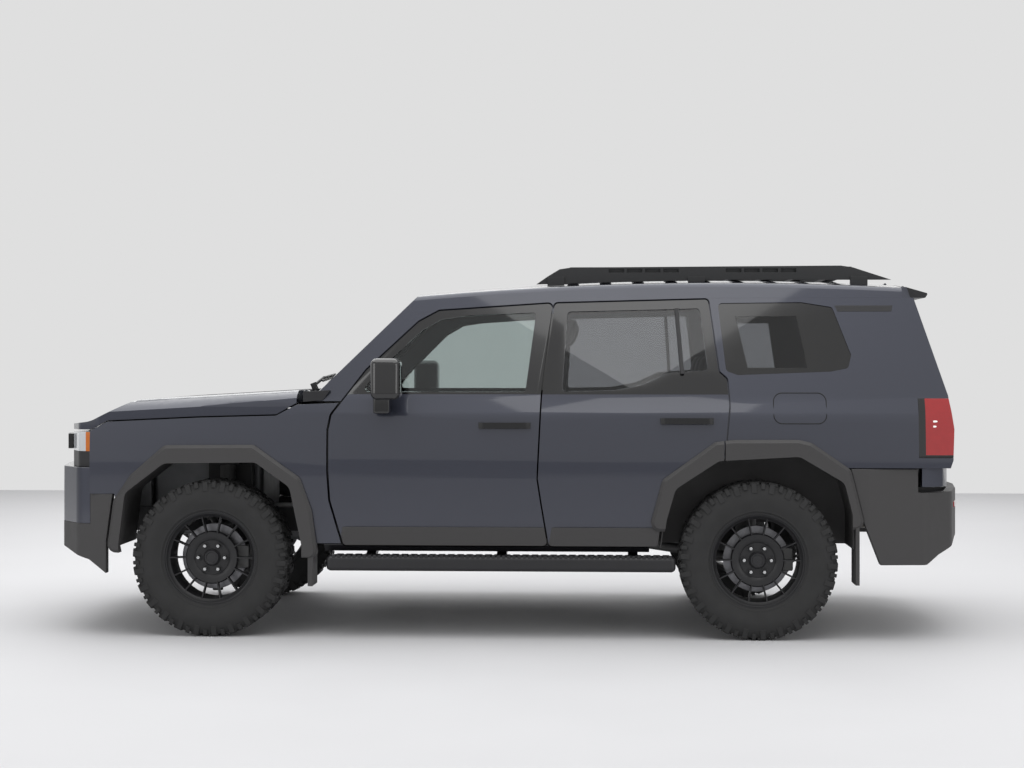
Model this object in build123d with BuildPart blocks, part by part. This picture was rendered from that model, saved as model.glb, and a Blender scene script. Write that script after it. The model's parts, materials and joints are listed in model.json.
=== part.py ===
"""A full-size off-road sport utility vehicle as separate, jointed panels on a ladder frame.

Units are millimetres and degrees. X runs forward, Y to the vehicle's left, Z up; the origin lies
on the ground under the middle of the overall length.
"""

import math
import os

from build123d import *

os.makedirs("parts", exist_ok=True)

# Overall sizes
WHEELBASE = 2850.0
FRONT_OVERHANG = 920.0
REAR_OVERHANG = 1140.0
TRACK = 1664.0
BODY_HALF_WIDTH = 966.0
FLARE_STAND = 24.0
ROOF_HEIGHT = 1890.0

LENGTH = WHEELBASE + FRONT_OVERHANG + REAR_OVERHANG
NOSE_X = LENGTH / 2
TAIL_X = -LENGTH / 2
AXLE_F = NOSE_X - FRONT_OVERHANG
AXLE_R = AXLE_F - WHEELBASE
WHEEL_Y = TRACK / 2
FLARE_HALF_WIDTH = BODY_HALF_WIDTH + FLARE_STAND
TAIL_TOP = ROOF_HEIGHT + 70.0

# Tyre, rim and brake
TYRE_RADIUS = 408.0
TYRE_WIDTH = 268.0
RIM_RADIUS = 247.0
RIM_WIDTH = 222.0
RIM_BARREL_RADIUS = 214.0
HUB_FACE_OFFSET = 34.0
SPOKE_COUNT = 14
LUG_COUNT = 26
LUG_DEPTH = 11.0
LUG_SPAN = 8.6
DISC_RADIUS = 172.0
DISC_THICKNESS = 30.0
AXLE_Z = TYRE_RADIUS

# Heights of the body side
SILL_BOTTOM = 448.0
DOOR_BOTTOM = 482.0
CLADDING_TOP = 578.0
CREASE_Z = 830.0
SHOULDER_Z = 1175.0
BELT_Z = 1262.0
RAIL_Z = 1755.0

# Half widths of the body side, measured inward from the widest crease
SILL_IN = 60.0
SKIRT_IN = 18.0
CLADDING_IN = 11.0
BOW_IN = 3.0
SHOULDER_IN = 18.0
BELT_IN = 52.0
RAIL_IN = 214.0

# Large radii that bow the panels
ROOF_RADIUS = 18500.0
ROOF_PEAK_X = -1100.0
ROOF_CROWN_RADIUS = 6800.0
ROOF_EDGE_RADIUS = 38.0

# Windscreen: foot of the glass at the pillar, rake above the horizontal, bow towards the nose
SCREEN_FOOT_X = AXLE_F - 560.0
SCREEN_FOOT_Z = 1272.0
SCREEN_RAKE = 43.5
SCREEN_BOW = 85.0

# Clearances
DOOR_GAP = 8.0
TOP_GAP = 5.0
SWING_GAP = 11.0
SEAL_CLEARANCE = 12.0
DOOR_RETURN = 50.0
GLASS_INSET = 6.0
GLASS_THICKNESS = 5.0
FIT = 0.3

# Door hinges: the axis lies behind the leading edge and under the skin; a pocket lets the edge swing in
HINGE_SETBACK = 50.0
HINGE_DEPTH = 15.5
HINGE_BARREL = 9.0
HINGE_HEIGHT = 56.0
HINGE_POCKET = 58.0
BELT_POCKET = 80.0
DOOR_SWING = 68.0
FENDER_THICKNESS = 22.0

# Ladder frame
RAIL_Y = 390.0
RAIL_WIDTH = 76.0
RAIL_HEIGHT = 130.0
RAIL_TOP = 636.0
RAIL_KICK = 124.0
FLOOR_THICKNESS = 28.0

# Steering axis
KINGPIN_Y = WHEEL_Y - 84.0
BALL_JOINT_TOP = AXLE_Z + 150.0
BALL_JOINT_LOW = AXLE_Z - 158.0

FAR = 1400.0


def fx(distance: float) -> float:
    """Station measured forward from the front axle."""
    return AXLE_F + distance


def rx(distance: float) -> float:
    """Station measured forward from the rear axle."""
    return AXLE_R + distance


def side_prism(points, low, high, radius=0.0, grow=0.0):
    """Block whose outline is drawn in the side view, between two values of Y."""
    with BuildPart(mode=Mode.PRIVATE) as prism:
        with BuildSketch(Plane.XZ.offset(-high)):
            with BuildLine():
                if radius:
                    FilletPolyline(*points, radius=radius, close=True)
                else:
                    Polyline(*points, close=True)
            make_face()
            if grow:
                offset(amount=grow, kind=Kind.INTERSECTION)
        extrude(amount=high - low)
    return prism.part


def plan_prism(points, low, high, radius=0.0, grow=0.0):
    """Block whose outline is drawn in the plan view, between two heights."""
    with BuildPart(mode=Mode.PRIVATE) as prism:
        with BuildSketch(Plane.XY.offset(low)):
            with BuildLine():
                if radius:
                    FilletPolyline(*points, radius=radius, close=True)
                else:
                    Polyline(*points, close=True)
            make_face()
            if grow:
                offset(amount=grow, kind=Kind.INTERSECTION)
        extrude(amount=high - low)
    return prism.part


def end_prism(points, low, high, radius=0.0, grow=0.0):
    """Block whose outline is drawn in the end view as Y and Z, between two stations."""
    with BuildPart(mode=Mode.PRIVATE) as prism:
        with BuildSketch(Plane.YZ.offset(low)):
            with BuildLine():
                if radius:
                    FilletPolyline(*points, radius=radius, close=True)
                else:
                    Polyline(*points, close=True)
            make_face()
            if grow:
                offset(amount=grow, kind=Kind.INTERSECTION)
        extrude(amount=high - low)
    return prism.part


def rod(start, end, radius):
    """Round bar between two points."""
    run = Vector(*end) - Vector(*start)
    with BuildPart(mode=Mode.PRIVATE) as bar:
        with BuildSketch(Plane(origin=start, z_dir=run)):
            Circle(radius)
        extrude(amount=run.length)
    return bar.part


def block(x_range, y_range, z_range, rounding=0.0):
    """Box between three ranges, with its edges rounded where a radius is given."""
    with BuildPart(mode=Mode.PRIVATE) as box:
        with Locations((sum(x_range) / 2, sum(y_range) / 2, sum(z_range) / 2)):
            Box(abs(x_range[1] - x_range[0]), abs(y_range[1] - y_range[0]), abs(z_range[1] - z_range[0]))
        if rounding:
            fillet(box.edges(), rounding)
    return box.part


def mirrored(piece):
    """The same piece on the other side of the vehicle."""
    return mirror(piece, about=Plane.XZ, mode=Mode.PRIVATE)


def joined(*pieces):
    """One part from pieces that overlap."""
    with BuildPart(mode=Mode.PRIVATE) as whole:
        for piece in pieces:
            add(piece)
    return whole.part


def write_node(builder, name):
    """Label a finished piece and write it beside the others."""
    builder.part.label = name
    export_step(builder.part, f"parts/{name}.step")


# Body shell
# Each layer is the whole body outline drawn in by its own depths: skin outside, leaf for the back of
# a door's outer panel, rabbet for the frame behind that panel, lining for the inside of the wall.
LAYER_COLUMNS = ("low", "up", "roof", "screen", "rear")
LAYER_ROWS = {
    "skin": (0.0, 0.0, 0.0, 0.0, 0.0),
    "leaf": (24.0, 20.0, 20.0, 20.0, 22.0),
    "rabbet": (30.0, 25.0, 25.0, 25.0, 28.0),
    "lining": (90.0, 48.0, 40.0, 44.0, 64.0),
    "trim": (90.4, 48.4, 40.4, 44.4, 64.4),
    "glass_out": (GLASS_INSET, GLASS_INSET, GLASS_INSET, GLASS_INSET, GLASS_INSET),
    "glass_in": tuple([GLASS_INSET + GLASS_THICKNESS] * 5),
}
LAYERS = {name: dict(zip(LAYER_COLUMNS, row)) for name, row in LAYER_ROWS.items()}


SECTION_TOP = ROOF_HEIGHT + 125.0
SIDE_RUN = (TAIL_X - 300.0, NOSE_X + 300.0)


def section_points(low, up):
    """Points of the body side section, drawn in by a depth below and above the belt."""
    slope = (RAIL_IN - BELT_IN) / (RAIL_Z - BELT_Z)
    points = {
        "sill": (SILL_IN + low, SILL_BOTTOM - low),
        "skirt": (SKIRT_IN + low, DOOR_BOTTOM),
        "cladding": (CLADDING_IN + low, CLADDING_TOP),
        "crease": (low, CREASE_Z),
        "bow": (BOW_IN + low, (CREASE_Z + SHOULDER_Z) / 2),
        "shoulder": (SHOULDER_IN + low, SHOULDER_Z),
        "belt": (BELT_IN + (low + up) / 2, BELT_Z),
        "rail": (RAIL_IN + up, RAIL_Z),
        "top": (RAIL_IN + up + slope * (SECTION_TOP - RAIL_Z), SECTION_TOP),
    }
    return {name: (BODY_HALF_WIDTH - inset, height) for name, (inset, height) in points.items()}


def section_line(edge):
    """Draw the body side section from the sill to the top."""
    Polyline(edge["sill"], edge["skirt"], edge["cladding"], edge["crease"])
    ThreePointArc(edge["crease"], edge["bow"], edge["shoulder"])
    Polyline(edge["shoulder"], edge["belt"], edge["rail"], edge["top"])


def side_walls(low, up):
    """Everything between the two body sides."""
    left = section_points(low, up)
    right = {name: (-y, z) for name, (y, z) in left.items()}
    with BuildPart(mode=Mode.PRIVATE) as both:
        with BuildSketch(Plane.YZ.offset(SIDE_RUN[0])):
            with BuildLine():
                section_line(left)
                Line(left["top"], right["top"])
                section_line(right)
                Line(right["sill"], left["sill"])
            make_face()
        extrude(amount=SIDE_RUN[1] - SIDE_RUN[0])
    return both.part


def left_wall(outer, inner):
    """Left body side as a wall between two depths, the outer one negative where it stands proud."""
    near = section_points(outer, outer)
    far = section_points(inner, inner)
    near["sill"] = (near["sill"][0], SILL_BOTTOM - 30)
    far["sill"] = (far["sill"][0], SILL_BOTTOM - 30)
    with BuildPart(mode=Mode.PRIVATE) as wall:
        with BuildSketch(Plane.YZ.offset(SIDE_RUN[0])):
            with BuildLine():
                section_line(near)
                Line(near["top"], far["top"])
                section_line(far)
                Line(far["sill"], near["sill"])
            make_face()
        extrude(amount=SIDE_RUN[1] - SIDE_RUN[0])
    return wall.part


def under_roof(depth):
    """Everything under the arched and crowned roof, drawn in by a depth."""
    reach = math.degrees(math.asin((LENGTH / 2 + 900) / ROOF_RADIUS))
    lean = math.radians(reach)
    centre = (ROOF_PEAK_X, 0, ROOF_HEIGHT - ROOF_RADIUS)
    plane = Plane(origin=centre, x_dir=(0, 1, 0), z_dir=(math.cos(lean), 0, math.sin(lean)))
    half = BODY_HALF_WIDTH + 100.0
    drop = half**2 / (2 * ROOF_CROWN_RADIUS)
    top = ROOF_RADIUS - depth
    with BuildPart(mode=Mode.PRIVATE) as arch:
        with BuildSketch(plane):
            with BuildLine():
                ThreePointArc((-half, top - drop), (0, top), (half, top - drop))
                Polyline((half, top - drop), (half, top - 1900), (-half, top - 1900), (-half, top - drop))
            make_face()
        revolve(axis=Axis(centre, (0, 1, 0)), revolution_arc=2 * reach)
    return arch.part


def behind_screen(depth):
    """Everything behind the bowed windscreen and the cowl below it."""
    rake = math.radians(SCREEN_RAKE)
    foot = SCREEN_FOOT_X - depth / math.sin(rake)
    half = BODY_HALF_WIDTH - BELT_IN
    back = TAIL_X - 2600.0
    rise = ROOF_HEIGHT + 200.0 - SCREEN_FOOT_Z
    with BuildPart(mode=Mode.PRIVATE) as space:
        with BuildSketch(Plane.XY.offset(SCREEN_FOOT_Z)) as foot_plan:
            with BuildLine():
                ThreePointArc((foot, -half), (foot + SCREEN_BOW, 0), (foot, half))
                Polyline((foot, half), (foot - 40, FAR), (back, FAR), (back, -FAR), (foot - 40, -FAR), (foot, -half))
            make_face()
        extrude(foot_plan.sketch, amount=rise / math.sin(rake), dir=(-math.cos(rake), 0, math.sin(rake)))
        extrude(foot_plan.sketch, amount=SCREEN_FOOT_Z, dir=(0, 0, -1))
    return space.part


# Tail outline in the side view, from the roof down to the bumper, as distance behind the rear axle
TAIL_LINE = (
    (rx(-770), TAIL_TOP),
    (rx(-972), 1262.0),
    (rx(-997), 1090.0),
    (rx(-990), 930.0),
    (rx(-935), 770.0),
    (rx(-935), 300.0),
)


def ahead_of_tail(depth):
    """Everything ahead of the tail outline, drawn in by a depth."""
    line = [(x + depth, z) for x, z in TAIL_LINE]
    front = NOSE_X + 200.0
    return side_prism([(front, TAIL_TOP), *line, (front, 300.0)], -FAR, FAR)


def shell_layer(name):
    """Whole cabin drawn in to one layer."""
    depth = LAYERS[name]
    with BuildPart(mode=Mode.PRIVATE) as cabin:
        add(side_walls(depth["low"], depth["up"]))
        add(ahead_of_tail(depth["rear"]), mode=Mode.INTERSECT)
        add(behind_screen(depth["screen"]), mode=Mode.INTERSECT)
        add(under_roof(depth["roof"]), mode=Mode.INTERSECT)
    return cabin.part


LAYER = {name: shell_layer(name) for name in LAYER_ROWS}

# Side-view outlines
B_EDGE = (
    (fx(-1786), 1743.0),
    (fx(-1728), BELT_Z),
    (fx(-1707), CREASE_Z),
    (fx(-1728), 693.0),
    (fx(-1764), DOOR_BOTTOM),
)
A_EDGE = (
    (fx(-703), DOOR_BOTTOM),
    (fx(-635), 715.0),
    (fx(-625), 871.0),
    (fx(-625), 1079.0),
    (fx(-640), 1157.0),
    (fx(-690), 1225.0),
    (fx(-814), 1392.0),
    (fx(-1081), 1646.0),
    (fx(-1187), 1704.0),
)
FRONT_DOOR = A_EDGE + B_EDGE
C_EDGE = (
    (rx(243), 1763.0),
    (rx(199), 1382.0),
    (rx(158), 1345.0),
    (rx(148), 1212.0),
    (rx(168), 1006.0),
    (rx(175), 956.0),
)
ARCH_REAR = (
    (rx(493), SILL_BOTTOM - 200),
    (rx(493), 466.0),
    (rx(472), 620.0),
    (rx(426), 780.0),
    (rx(204), 925.0),
    (rx(-208), 948.0),
    (rx(-436), 814.0),
    (rx(-477), 650.0),
    (rx(-477), SILL_BOTTOM - 200),
)
ARCH_FRONT = (
    (fx(474), SILL_BOTTOM - 200),
    (fx(474), 478.0),
    (fx(440), 750.0),
    (fx(236), 906.0),
    (fx(-246), 912.0),
    (fx(-425), 784.0),
    (fx(-488), 483.0),
    (fx(-488), SILL_BOTTOM - 200),
)
FLARE_FRONT = (
    (fx(540), 440.0),
    (fx(503), 714.0),
    (fx(414), 844.0),
    (fx(235), 1000.0),
    (fx(-235), 1003.0),
    (fx(-479), 831.0),
    (fx(-540), 660.0),
    (fx(-573), 406.0),
)
FLARE_REAR = (
    (rx(565), 560.0),
    (rx(493), 827.0),
    (rx(222), 1022.0),
    (rx(130), 1033.0),
    (rx(-206), 1034.0),
    (rx(-270), 1018.0),
    (rx(-470), 881.0),
    (rx(-546), 575.0),
)
REAR_DOOR = (
    *[(x - DOOR_GAP - (TOP_GAP if z > BELT_Z else 0), z) for x, z in reversed(B_EDGE)],
    (C_EDGE[0][0] + TOP_GAP, C_EDGE[0][1]),
    *C_EDGE[1:],
    (rx(218), 952.0),
    (rx(448), 802.0),
    (rx(498), 626.0),
    (rx(518), DOOR_BOTTOM),
)
FRONT_WINDOW = (
    (fx(-790), 1278.0),
    (fx(-880), 1392.0),
    (fx(-1098), 1600.0),
    (fx(-1200), 1658.0),
    (fx(-1350), 1680.0),
    (fx(-1700), 1697.0),
    (fx(-1648), 1278.0),
)
REAR_WINDOW = (
    (fx(-1838), 1280.0),
    (fx(-1866), 1700.0),
    (rx(292), 1716.0),
    (rx(252), 1392.0),
    (rx(460), 1376.0),
    (rx(590), 1316.0),
    (rx(740), 1286.0),
)
QUARTER_WINDOW = (
    (rx(196), 1744.0),
    (rx(-240), 1748.0),
    (rx(-400), 1722.0),
    (rx(-488), 1470.0),
    (rx(-470), 1402.0),
    (rx(-380), 1384.0),
    (rx(100), 1366.0),
    (rx(160), 1388.0),
)
TAILGATE_TOP = BODY_HALF_WIDTH - 366.0
TAILGATE_RAIL = BODY_HALF_WIDTH - 294.0
TAILGATE_BELT = BODY_HALF_WIDTH - 166.0
TAILGATE_FOOT = BODY_HALF_WIDTH - 224.0
TAILGATE = (
    (-TAILGATE_TOP, TAIL_TOP),
    (TAILGATE_TOP, TAIL_TOP),
    (TAILGATE_RAIL, 1740.0),
    (TAILGATE_BELT, 1290.0),
    (TAILGATE_FOOT, 1240.0),
    (TAILGATE_FOOT, 776.0),
    (-TAILGATE_FOOT, 776.0),
    (-TAILGATE_FOOT, 1240.0),
    (-TAILGATE_BELT, 1290.0),
    (-TAILGATE_RAIL, 1740.0),
)
TAIL_WINDOW = (
    (-TAILGATE_RAIL + 112.0, 1772.0),
    (TAILGATE_RAIL - 112.0, 1772.0),
    (TAILGATE_BELT - 110.0, 1330.0),
    (-TAILGATE_BELT + 110.0, 1330.0),
)
TAILGATE_FRONT = rx(-775)
LAMP_REAR = ((rx(-816), 942.0), (rx(-816), 1247.0), (TAIL_X - 100, 1247.0), (TAIL_X - 100, 942.0))

DOOR_Y = 480.0
door_cut = {
    "front": side_prism(FRONT_DOOR, DOOR_Y, FAR, radius=22, grow=DOOR_GAP),
    "rear": side_prism(REAR_DOOR, DOOR_Y, FAR, radius=18, grow=DOOR_GAP),
}
seal_cut = {
    "front": side_prism(FRONT_DOOR, DOOR_Y, FAR, radius=22, grow=SEAL_CLEARANCE - DOOR_RETURN),
    "rear": side_prism(REAR_DOOR, DOOR_Y, FAR, radius=18, grow=SEAL_CLEARANCE - DOOR_RETURN),
}
arch_cut = {
    "front": side_prism(ARCH_FRONT, 420, FAR, radius=60, grow=14),
    "rear": side_prism(ARCH_REAR, 420, FAR, radius=60, grow=14),
}


# Hinge axes of the doors, as station, half width and the two heights
HINGE_Y = BODY_HALF_WIDTH - HINGE_DEPTH
HINGES = {
    "front": (fx(-625) - HINGE_SETBACK, HINGE_Y, (724.0, 1020.0)),
    "rear": (fx(-1707) - DOOR_GAP - HINGE_SETBACK, HINGE_Y, (724.0, 1020.0)),
}


def hinge_pocket(side):
    """Round space in a pillar into which the leading edge of a door swings, wider at a rear door's belt."""
    x, y, _ = HINGES[side]
    pocket = rod((x, y, DOOR_BOTTOM + 40), (x, y, BELT_Z - 32), HINGE_POCKET)
    if side == "front":
        return pocket
    return joined(pocket, rod((x, y, BELT_Z - 80), (x, y, BELT_Z + 26), BELT_POCKET))


def swing_bevel(side):
    """Wedge outside the line that a door's leading edge may reach when it is fully open."""
    x, y, _ = HINGES[side]
    slope = 1 / math.tan(math.radians(DOOR_SWING))
    reach = (-90.0, 60.0)
    line = [(x + step, y - 4 - slope * step) for step in reach]
    return plan_prism([*line, (x + reach[1], y + 80), (x + reach[0], y + 80)], 0, CLADDING_TOP + 60)


def hinge_brackets(side):
    """Two brackets on the pillar, each with a round seat for the barrel on the door."""
    x, y, heights = HINGES[side]
    with BuildPart(mode=Mode.PRIVATE) as brackets:
        for height in heights:
            span = (height - HINGE_HEIGHT / 2 + 3, height + HINGE_HEIGHT / 2 - 3)
            add(block((x - 8, x + 8), (y - HINGE_POCKET - 12, y), span))
        for height in heights:
            add(rod((x, y, height - 60), (x, y, height + 60), HINGE_BARREL + FIT), mode=Mode.SUBTRACT)
    return brackets.part


def leaf_space(side):
    """Room that a door's outer panel takes up outside the frame behind it."""
    with BuildPart(mode=Mode.PRIVATE) as room:
        add(door_cut[side])
        add(LAYER["rabbet"], mode=Mode.SUBTRACT)
    return room.part


FRAME_CUTS = (
    *[leaf_space(side) for side in HINGES],
    *seal_cut.values(),
    *[hinge_pocket(side) for side in HINGES],
    arch_cut["rear"],
)


def frame_part(zone, layer="skin"):
    """Piece of the left body side frame inside one side-view zone, with rabbets for the doors."""
    with BuildPart(mode=Mode.PRIVATE) as piece:
        add(LAYER[layer])
        add(side_prism(zone, DOOR_Y, FAR), mode=Mode.INTERSECT)
        for cut in (LAYER["lining"], *FRAME_CUTS):
            add(cut, mode=Mode.SUBTRACT)
    return piece.part


def tailgate_prism(grow=0.0):
    """Outline of the tailgate carried through the tail wall."""
    return end_prism(TAILGATE, TAIL_X - 100, TAILGATE_FRONT + grow, radius=24, grow=grow)


def pane(prism):
    """Glass just under the skin inside a prism."""
    with BuildPart(mode=Mode.PRIVATE) as glass:
        add(LAYER["glass_out"])
        add(prism, mode=Mode.INTERSECT)
        add(LAYER["glass_in"], mode=Mode.SUBTRACT)
    return glass.part


def shaped(base, keep=(), cuts=()):
    """A piece kept inside some solids and cleared by others."""
    with BuildPart(mode=Mode.PRIVATE) as piece:
        add(base)
        for solid in keep:
            add(solid, mode=Mode.INTERSECT)
        for solid in cuts:
            add(solid, mode=Mode.SUBTRACT)
    return piece.part


def two_sided(half):
    """Closed plan outline from the points of its left half."""
    return [*half, *[(x, -y) for x, y in reversed(half)]]


# Zones that split the body side where its real panels meet
PILLAR_TOP = 1690.0
PILLAR_FOOT = RAIL_TOP
COWL_Z = 1230.0
ROOF_ZONE = (
    (fx(-1058), PILLAR_TOP),
    (fx(-935), 1820.0),
    (fx(-935), ROOF_HEIGHT + 100),
    (TAILGATE_FRONT + DOOR_GAP, ROOF_HEIGHT + 100),
    (TAILGATE_FRONT + DOOR_GAP, 1771.0),
    (C_EDGE[0][0], 1771.0),
    (C_EDGE[0][0] + 77, PILLAR_TOP),
)
A_PILLAR_ZONE = (
    (fx(-1500), PILLAR_TOP),
    (fx(-1058), PILLAR_TOP),
    (fx(-935), 1820.0),
    (fx(-300), 1820.0),
    (fx(-300), COWL_Z),
    (fx(-1500), COWL_Z),
)
HINGE_ZONE = ((fx(-790), PILLAR_FOOT), (fx(-790), COWL_Z), (fx(-600), COWL_Z), (fx(-600), PILLAR_FOOT))
SILL_ZONE = ((fx(-600), 300.0), (fx(-600), PILLAR_FOOT), (rx(560), PILLAR_FOOT), (rx(560), 300.0))
B_PILLAR_ZONE = (
    (fx(-1880), PILLAR_FOOT),
    (fx(-1880), PILLAR_TOP),
    (fx(-1620), PILLAR_TOP),
    (fx(-1620), PILLAR_FOOT),
)
QUARTER_ZONE = (
    (C_EDGE[0][0] + 77, PILLAR_TOP),
    (C_EDGE[0][0], 1771.0),
    (TAIL_X - 100, 1771.0),
    (TAIL_X - 100, 890.0),
    (rx(560), 890.0),
    (rx(560), 1390.0),
    (C_EDGE[0][0] + 77, 1390.0),
)
SCREEN_LOW = BODY_HALF_WIDTH - 144.0
SCREEN_TOP = BODY_HALF_WIDTH - 311.0
SCREEN_OPENING = ((-SCREEN_LOW, 1215.0), (SCREEN_LOW, 1215.0), (SCREEN_TOP, 1748.0), (-SCREEN_TOP, 1748.0))
screen_cut = end_prism(SCREEN_OPENING, fx(-1300), fx(-300), radius=30)

# Tailgate hinge line along the rear edge of the roof
TAILGATE_AXIS = (TAILGATE_FRONT + DOOR_GAP / 2, ROOF_HEIGHT - 24)
TAILGATE_BARRELS = (-130.0, 130.0)
BARREL_LENGTH = 60.0


def cross_barrel(axis, y, radius, length=BARREL_LENGTH):
    """Round barrel lying across the vehicle on a hinge line."""
    return rod((axis[0], y - length / 2, axis[1]), (axis[0], y + length / 2, axis[1]), radius)


# Roof, pillars, sills and quarter panels
roof_cuts = [LAYER["lining"], screen_cut]
for cut in FRAME_CUTS[:4]:
    roof_cuts.extend((cut, mirrored(cut)))
for y in TAILGATE_BARRELS:
    roof_cuts.append(cross_barrel(TAILGATE_AXIS, y, 8 + FIT, BARREL_LENGTH + 10))
with BuildPart(mode=Mode.PRIVATE) as rounding:
    add(LAYER["skin"])
    top = rounding.faces().sort_by(Axis.Z)[-1]
    fillet(top.edges().filter_by(lambda edge: edge.length > LENGTH / 2), ROOF_EDGE_RADIUS)
rounded_roof = rounding.part
with BuildPart() as roof_panel:
    add(shaped(rounded_roof, [side_prism(ROOF_ZONE, -FAR, FAR)], roof_cuts))
write_node(roof_panel, "roof_panel")

with BuildPart() as a_pillars:
    add(shaped(frame_part(A_PILLAR_ZONE), cuts=[screen_cut]))
    mirror(about=Plane.XZ)
write_node(a_pillars, "a_pillars")

with BuildPart() as b_pillars:
    add(frame_part(B_PILLAR_ZONE))
    add(hinge_brackets("rear"))
    mirror(about=Plane.XZ)
write_node(b_pillars, "b_pillars")

with BuildPart() as sills:
    fender_space = shaped(block((fx(-760), fx(-590)), (700, FAR), (486, 700)), cuts=[LAYER["rabbet"]])
    add(shaped(frame_part(SILL_ZONE), cuts=[fender_space]))
    mirror(about=Plane.XZ)
write_node(sills, "sills")

outboard_line = [(y + SWING_GAP, z) for y, z in TAILGATE[2:5]]
outboard_zone = [
    (FAR, ROOF_HEIGHT + 100),
    (outboard_line[0][0] - 70, ROOF_HEIGHT + 100),
    *outboard_line,
    (outboard_line[-1][0], 700.0),
    (FAR, 700.0),
]
outboard = end_prism(outboard_zone, TAIL_X - 100, NOSE_X)
quarter_cuts = [
    side_prism(LAMP_REAR, 600, FAR),
    side_prism(QUARTER_WINDOW, DOOR_Y, FAR, radius=22),
]
with BuildPart() as quarter_panels:
    add(shaped(frame_part(QUARTER_ZONE), [outboard], quarter_cuts))
    mirror(about=Plane.XZ)
write_node(quarter_panels, "quarter_panels")

with BuildPart() as bulkhead:
    hollow = shaped(LAYER["lining"], [block((-FAR, fx(-640)), (-FAR, FAR), (0, 2000))])
    cuts = [hollow, *FRAME_CUTS, *map(mirrored, FRAME_CUTS)]
    add(shaped(LAYER["rabbet"], [side_prism(HINGE_ZONE, -FAR, FAR)], cuts))
    for brackets in (hinge_brackets("front"), mirrored(hinge_brackets("front"))):
        add(brackets)
write_node(bulkhead, "bulkhead")

# Fixed glass
with BuildPart() as windscreen:
    glass_zone = end_prism(SCREEN_OPENING, fx(-1300), fx(-300), radius=30, grow=-FIT)
    add(shaped(pane(glass_zone), [block((fx(-1300), fx(-300)), (-FAR, FAR), (1292, 1900))]))
write_node(windscreen, "windscreen")

with BuildPart() as quarter_glass:
    add(pane(side_prism(QUARTER_WINDOW, DOOR_Y, FAR, radius=22, grow=-FIT)))
    mirror(about=Plane.XZ)
write_node(quarter_glass, "quarter_glass")

# Lamps at the tail
with BuildPart() as tail_lamps:
    lamp = shaped(LAYER["skin"], [side_prism(LAMP_REAR, TAILGATE_FOOT + 10, FAR, grow=-FIT)], [LAYER["lining"]])
    add(lamp)
    mirror(about=Plane.XZ)
write_node(tail_lamps, "tail_lamps")

# Thin walls of the left side for cladding, flares, mirrors and fenders
CLADDING_DEPTH = 12.0
FLARE_BEVEL = 16.0
clad_wall = left_wall(-CLADDING_DEPTH, 0)
flare_wall = left_wall(-90, 0)
outside_wall = left_wall(-400, 0)
fender_wall = left_wall(0, FENDER_THICKNESS)


def flare_ring(outer, arch):
    """Flare round a wheel arch, standing out from the skin to the full width."""
    with BuildPart(mode=Mode.PRIVATE) as ring:
        with BuildSketch(Plane.XZ.offset(-FLARE_HALF_WIDTH)):
            with BuildLine():
                FilletPolyline(*outer, radius=45, close=True)
            make_face()
        extrude(amount=140)
        chamfer(ring.faces().sort_by(Axis.Y)[-1].edges(), FLARE_BEVEL)
        add(side_prism(arch, 0, FAR, radius=60), mode=Mode.SUBTRACT)
        add(flare_wall, mode=Mode.INTERSECT)
    return ring.part


DOOR_TABLE = {
    "front": (FRONT_DOOR, FRONT_WINDOW, 22.0),
    "rear": (REAR_DOOR, REAR_WINDOW, 18.0),
}
FLARE_SPLIT = rx(174)
rear_flare = flare_ring(FLARE_REAR, ARCH_REAR)
ahead_of_split = block((FLARE_SPLIT + DOOR_GAP / 2, FLARE_SPLIT + 900), (0, FAR), (0, 1500))
behind_split = block((FLARE_SPLIT - 900, FLARE_SPLIT - DOOR_GAP / 2), (0, FAR), (0, 1500))


# Grips of the doors, as stations of the two ends and middle height
GRIPS = {"front": (fx(-1408), fx(-1677), 1105.0), "rear": (rx(503), rx(230), 1129.0)}
GRIP_HEIGHT = 32.0
GRIP_REACH = 36.0


def door_grip(side):
    """Bar to pull a left door by, bridged to the skin at both ends."""
    front, rear, height = GRIPS[side]
    skin = BODY_HALF_WIDTH - SHOULDER_IN
    half = GRIP_HEIGHT / 2
    outer = skin + GRIP_REACH
    bridge = (
        (rear, skin - 6),
        (rear, outer - 10),
        (rear + 22, outer),
        (front - 22, outer),
        (front, outer - 10),
        (front, skin - 6),
        (front - 44, skin - 6),
        (front - 60, outer - 14),
        (rear + 60, outer - 14),
        (rear + 44, skin - 6),
    )
    return plan_prism(bridge, height - half, height + half, radius=4)


def door_panel(side):
    """Left door: full outer leaf, deep box inside it, window cut, and two hinge barrels."""
    outline, window, radius = DOOR_TABLE[side]
    x, y, heights = HINGES[side]
    rim = shaped(
        LAYER["leaf"],
        [side_prism(outline, DOOR_Y, FAR, radius=radius, grow=10)],
        [side_prism(outline, DOOR_Y - 10, FAR, radius=radius, grow=-DOOR_RETURN)],
    )
    cuts = [LAYER["lining"], rim, side_prism(window, DOOR_Y, FAR, radius=18)]
    for height in heights:
        band = (height - HINGE_HEIGHT / 2, height + HINGE_HEIGHT / 2)
        cuts.append(block((x - 20, x + 90), (y - 90, y + HINGE_DEPTH - 8), band))
    with BuildPart(mode=Mode.PRIVATE) as panel:
        add(shaped(LAYER["skin"], [side_prism(outline, DOOR_Y, FAR, radius=radius)], cuts))
        for height in heights:
            add(rod((x, y, height - HINGE_HEIGHT / 2), (x, y, height + HINGE_HEIGHT / 2), HINGE_BARREL))
        add(door_grip(side))
    return panel.part


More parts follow.
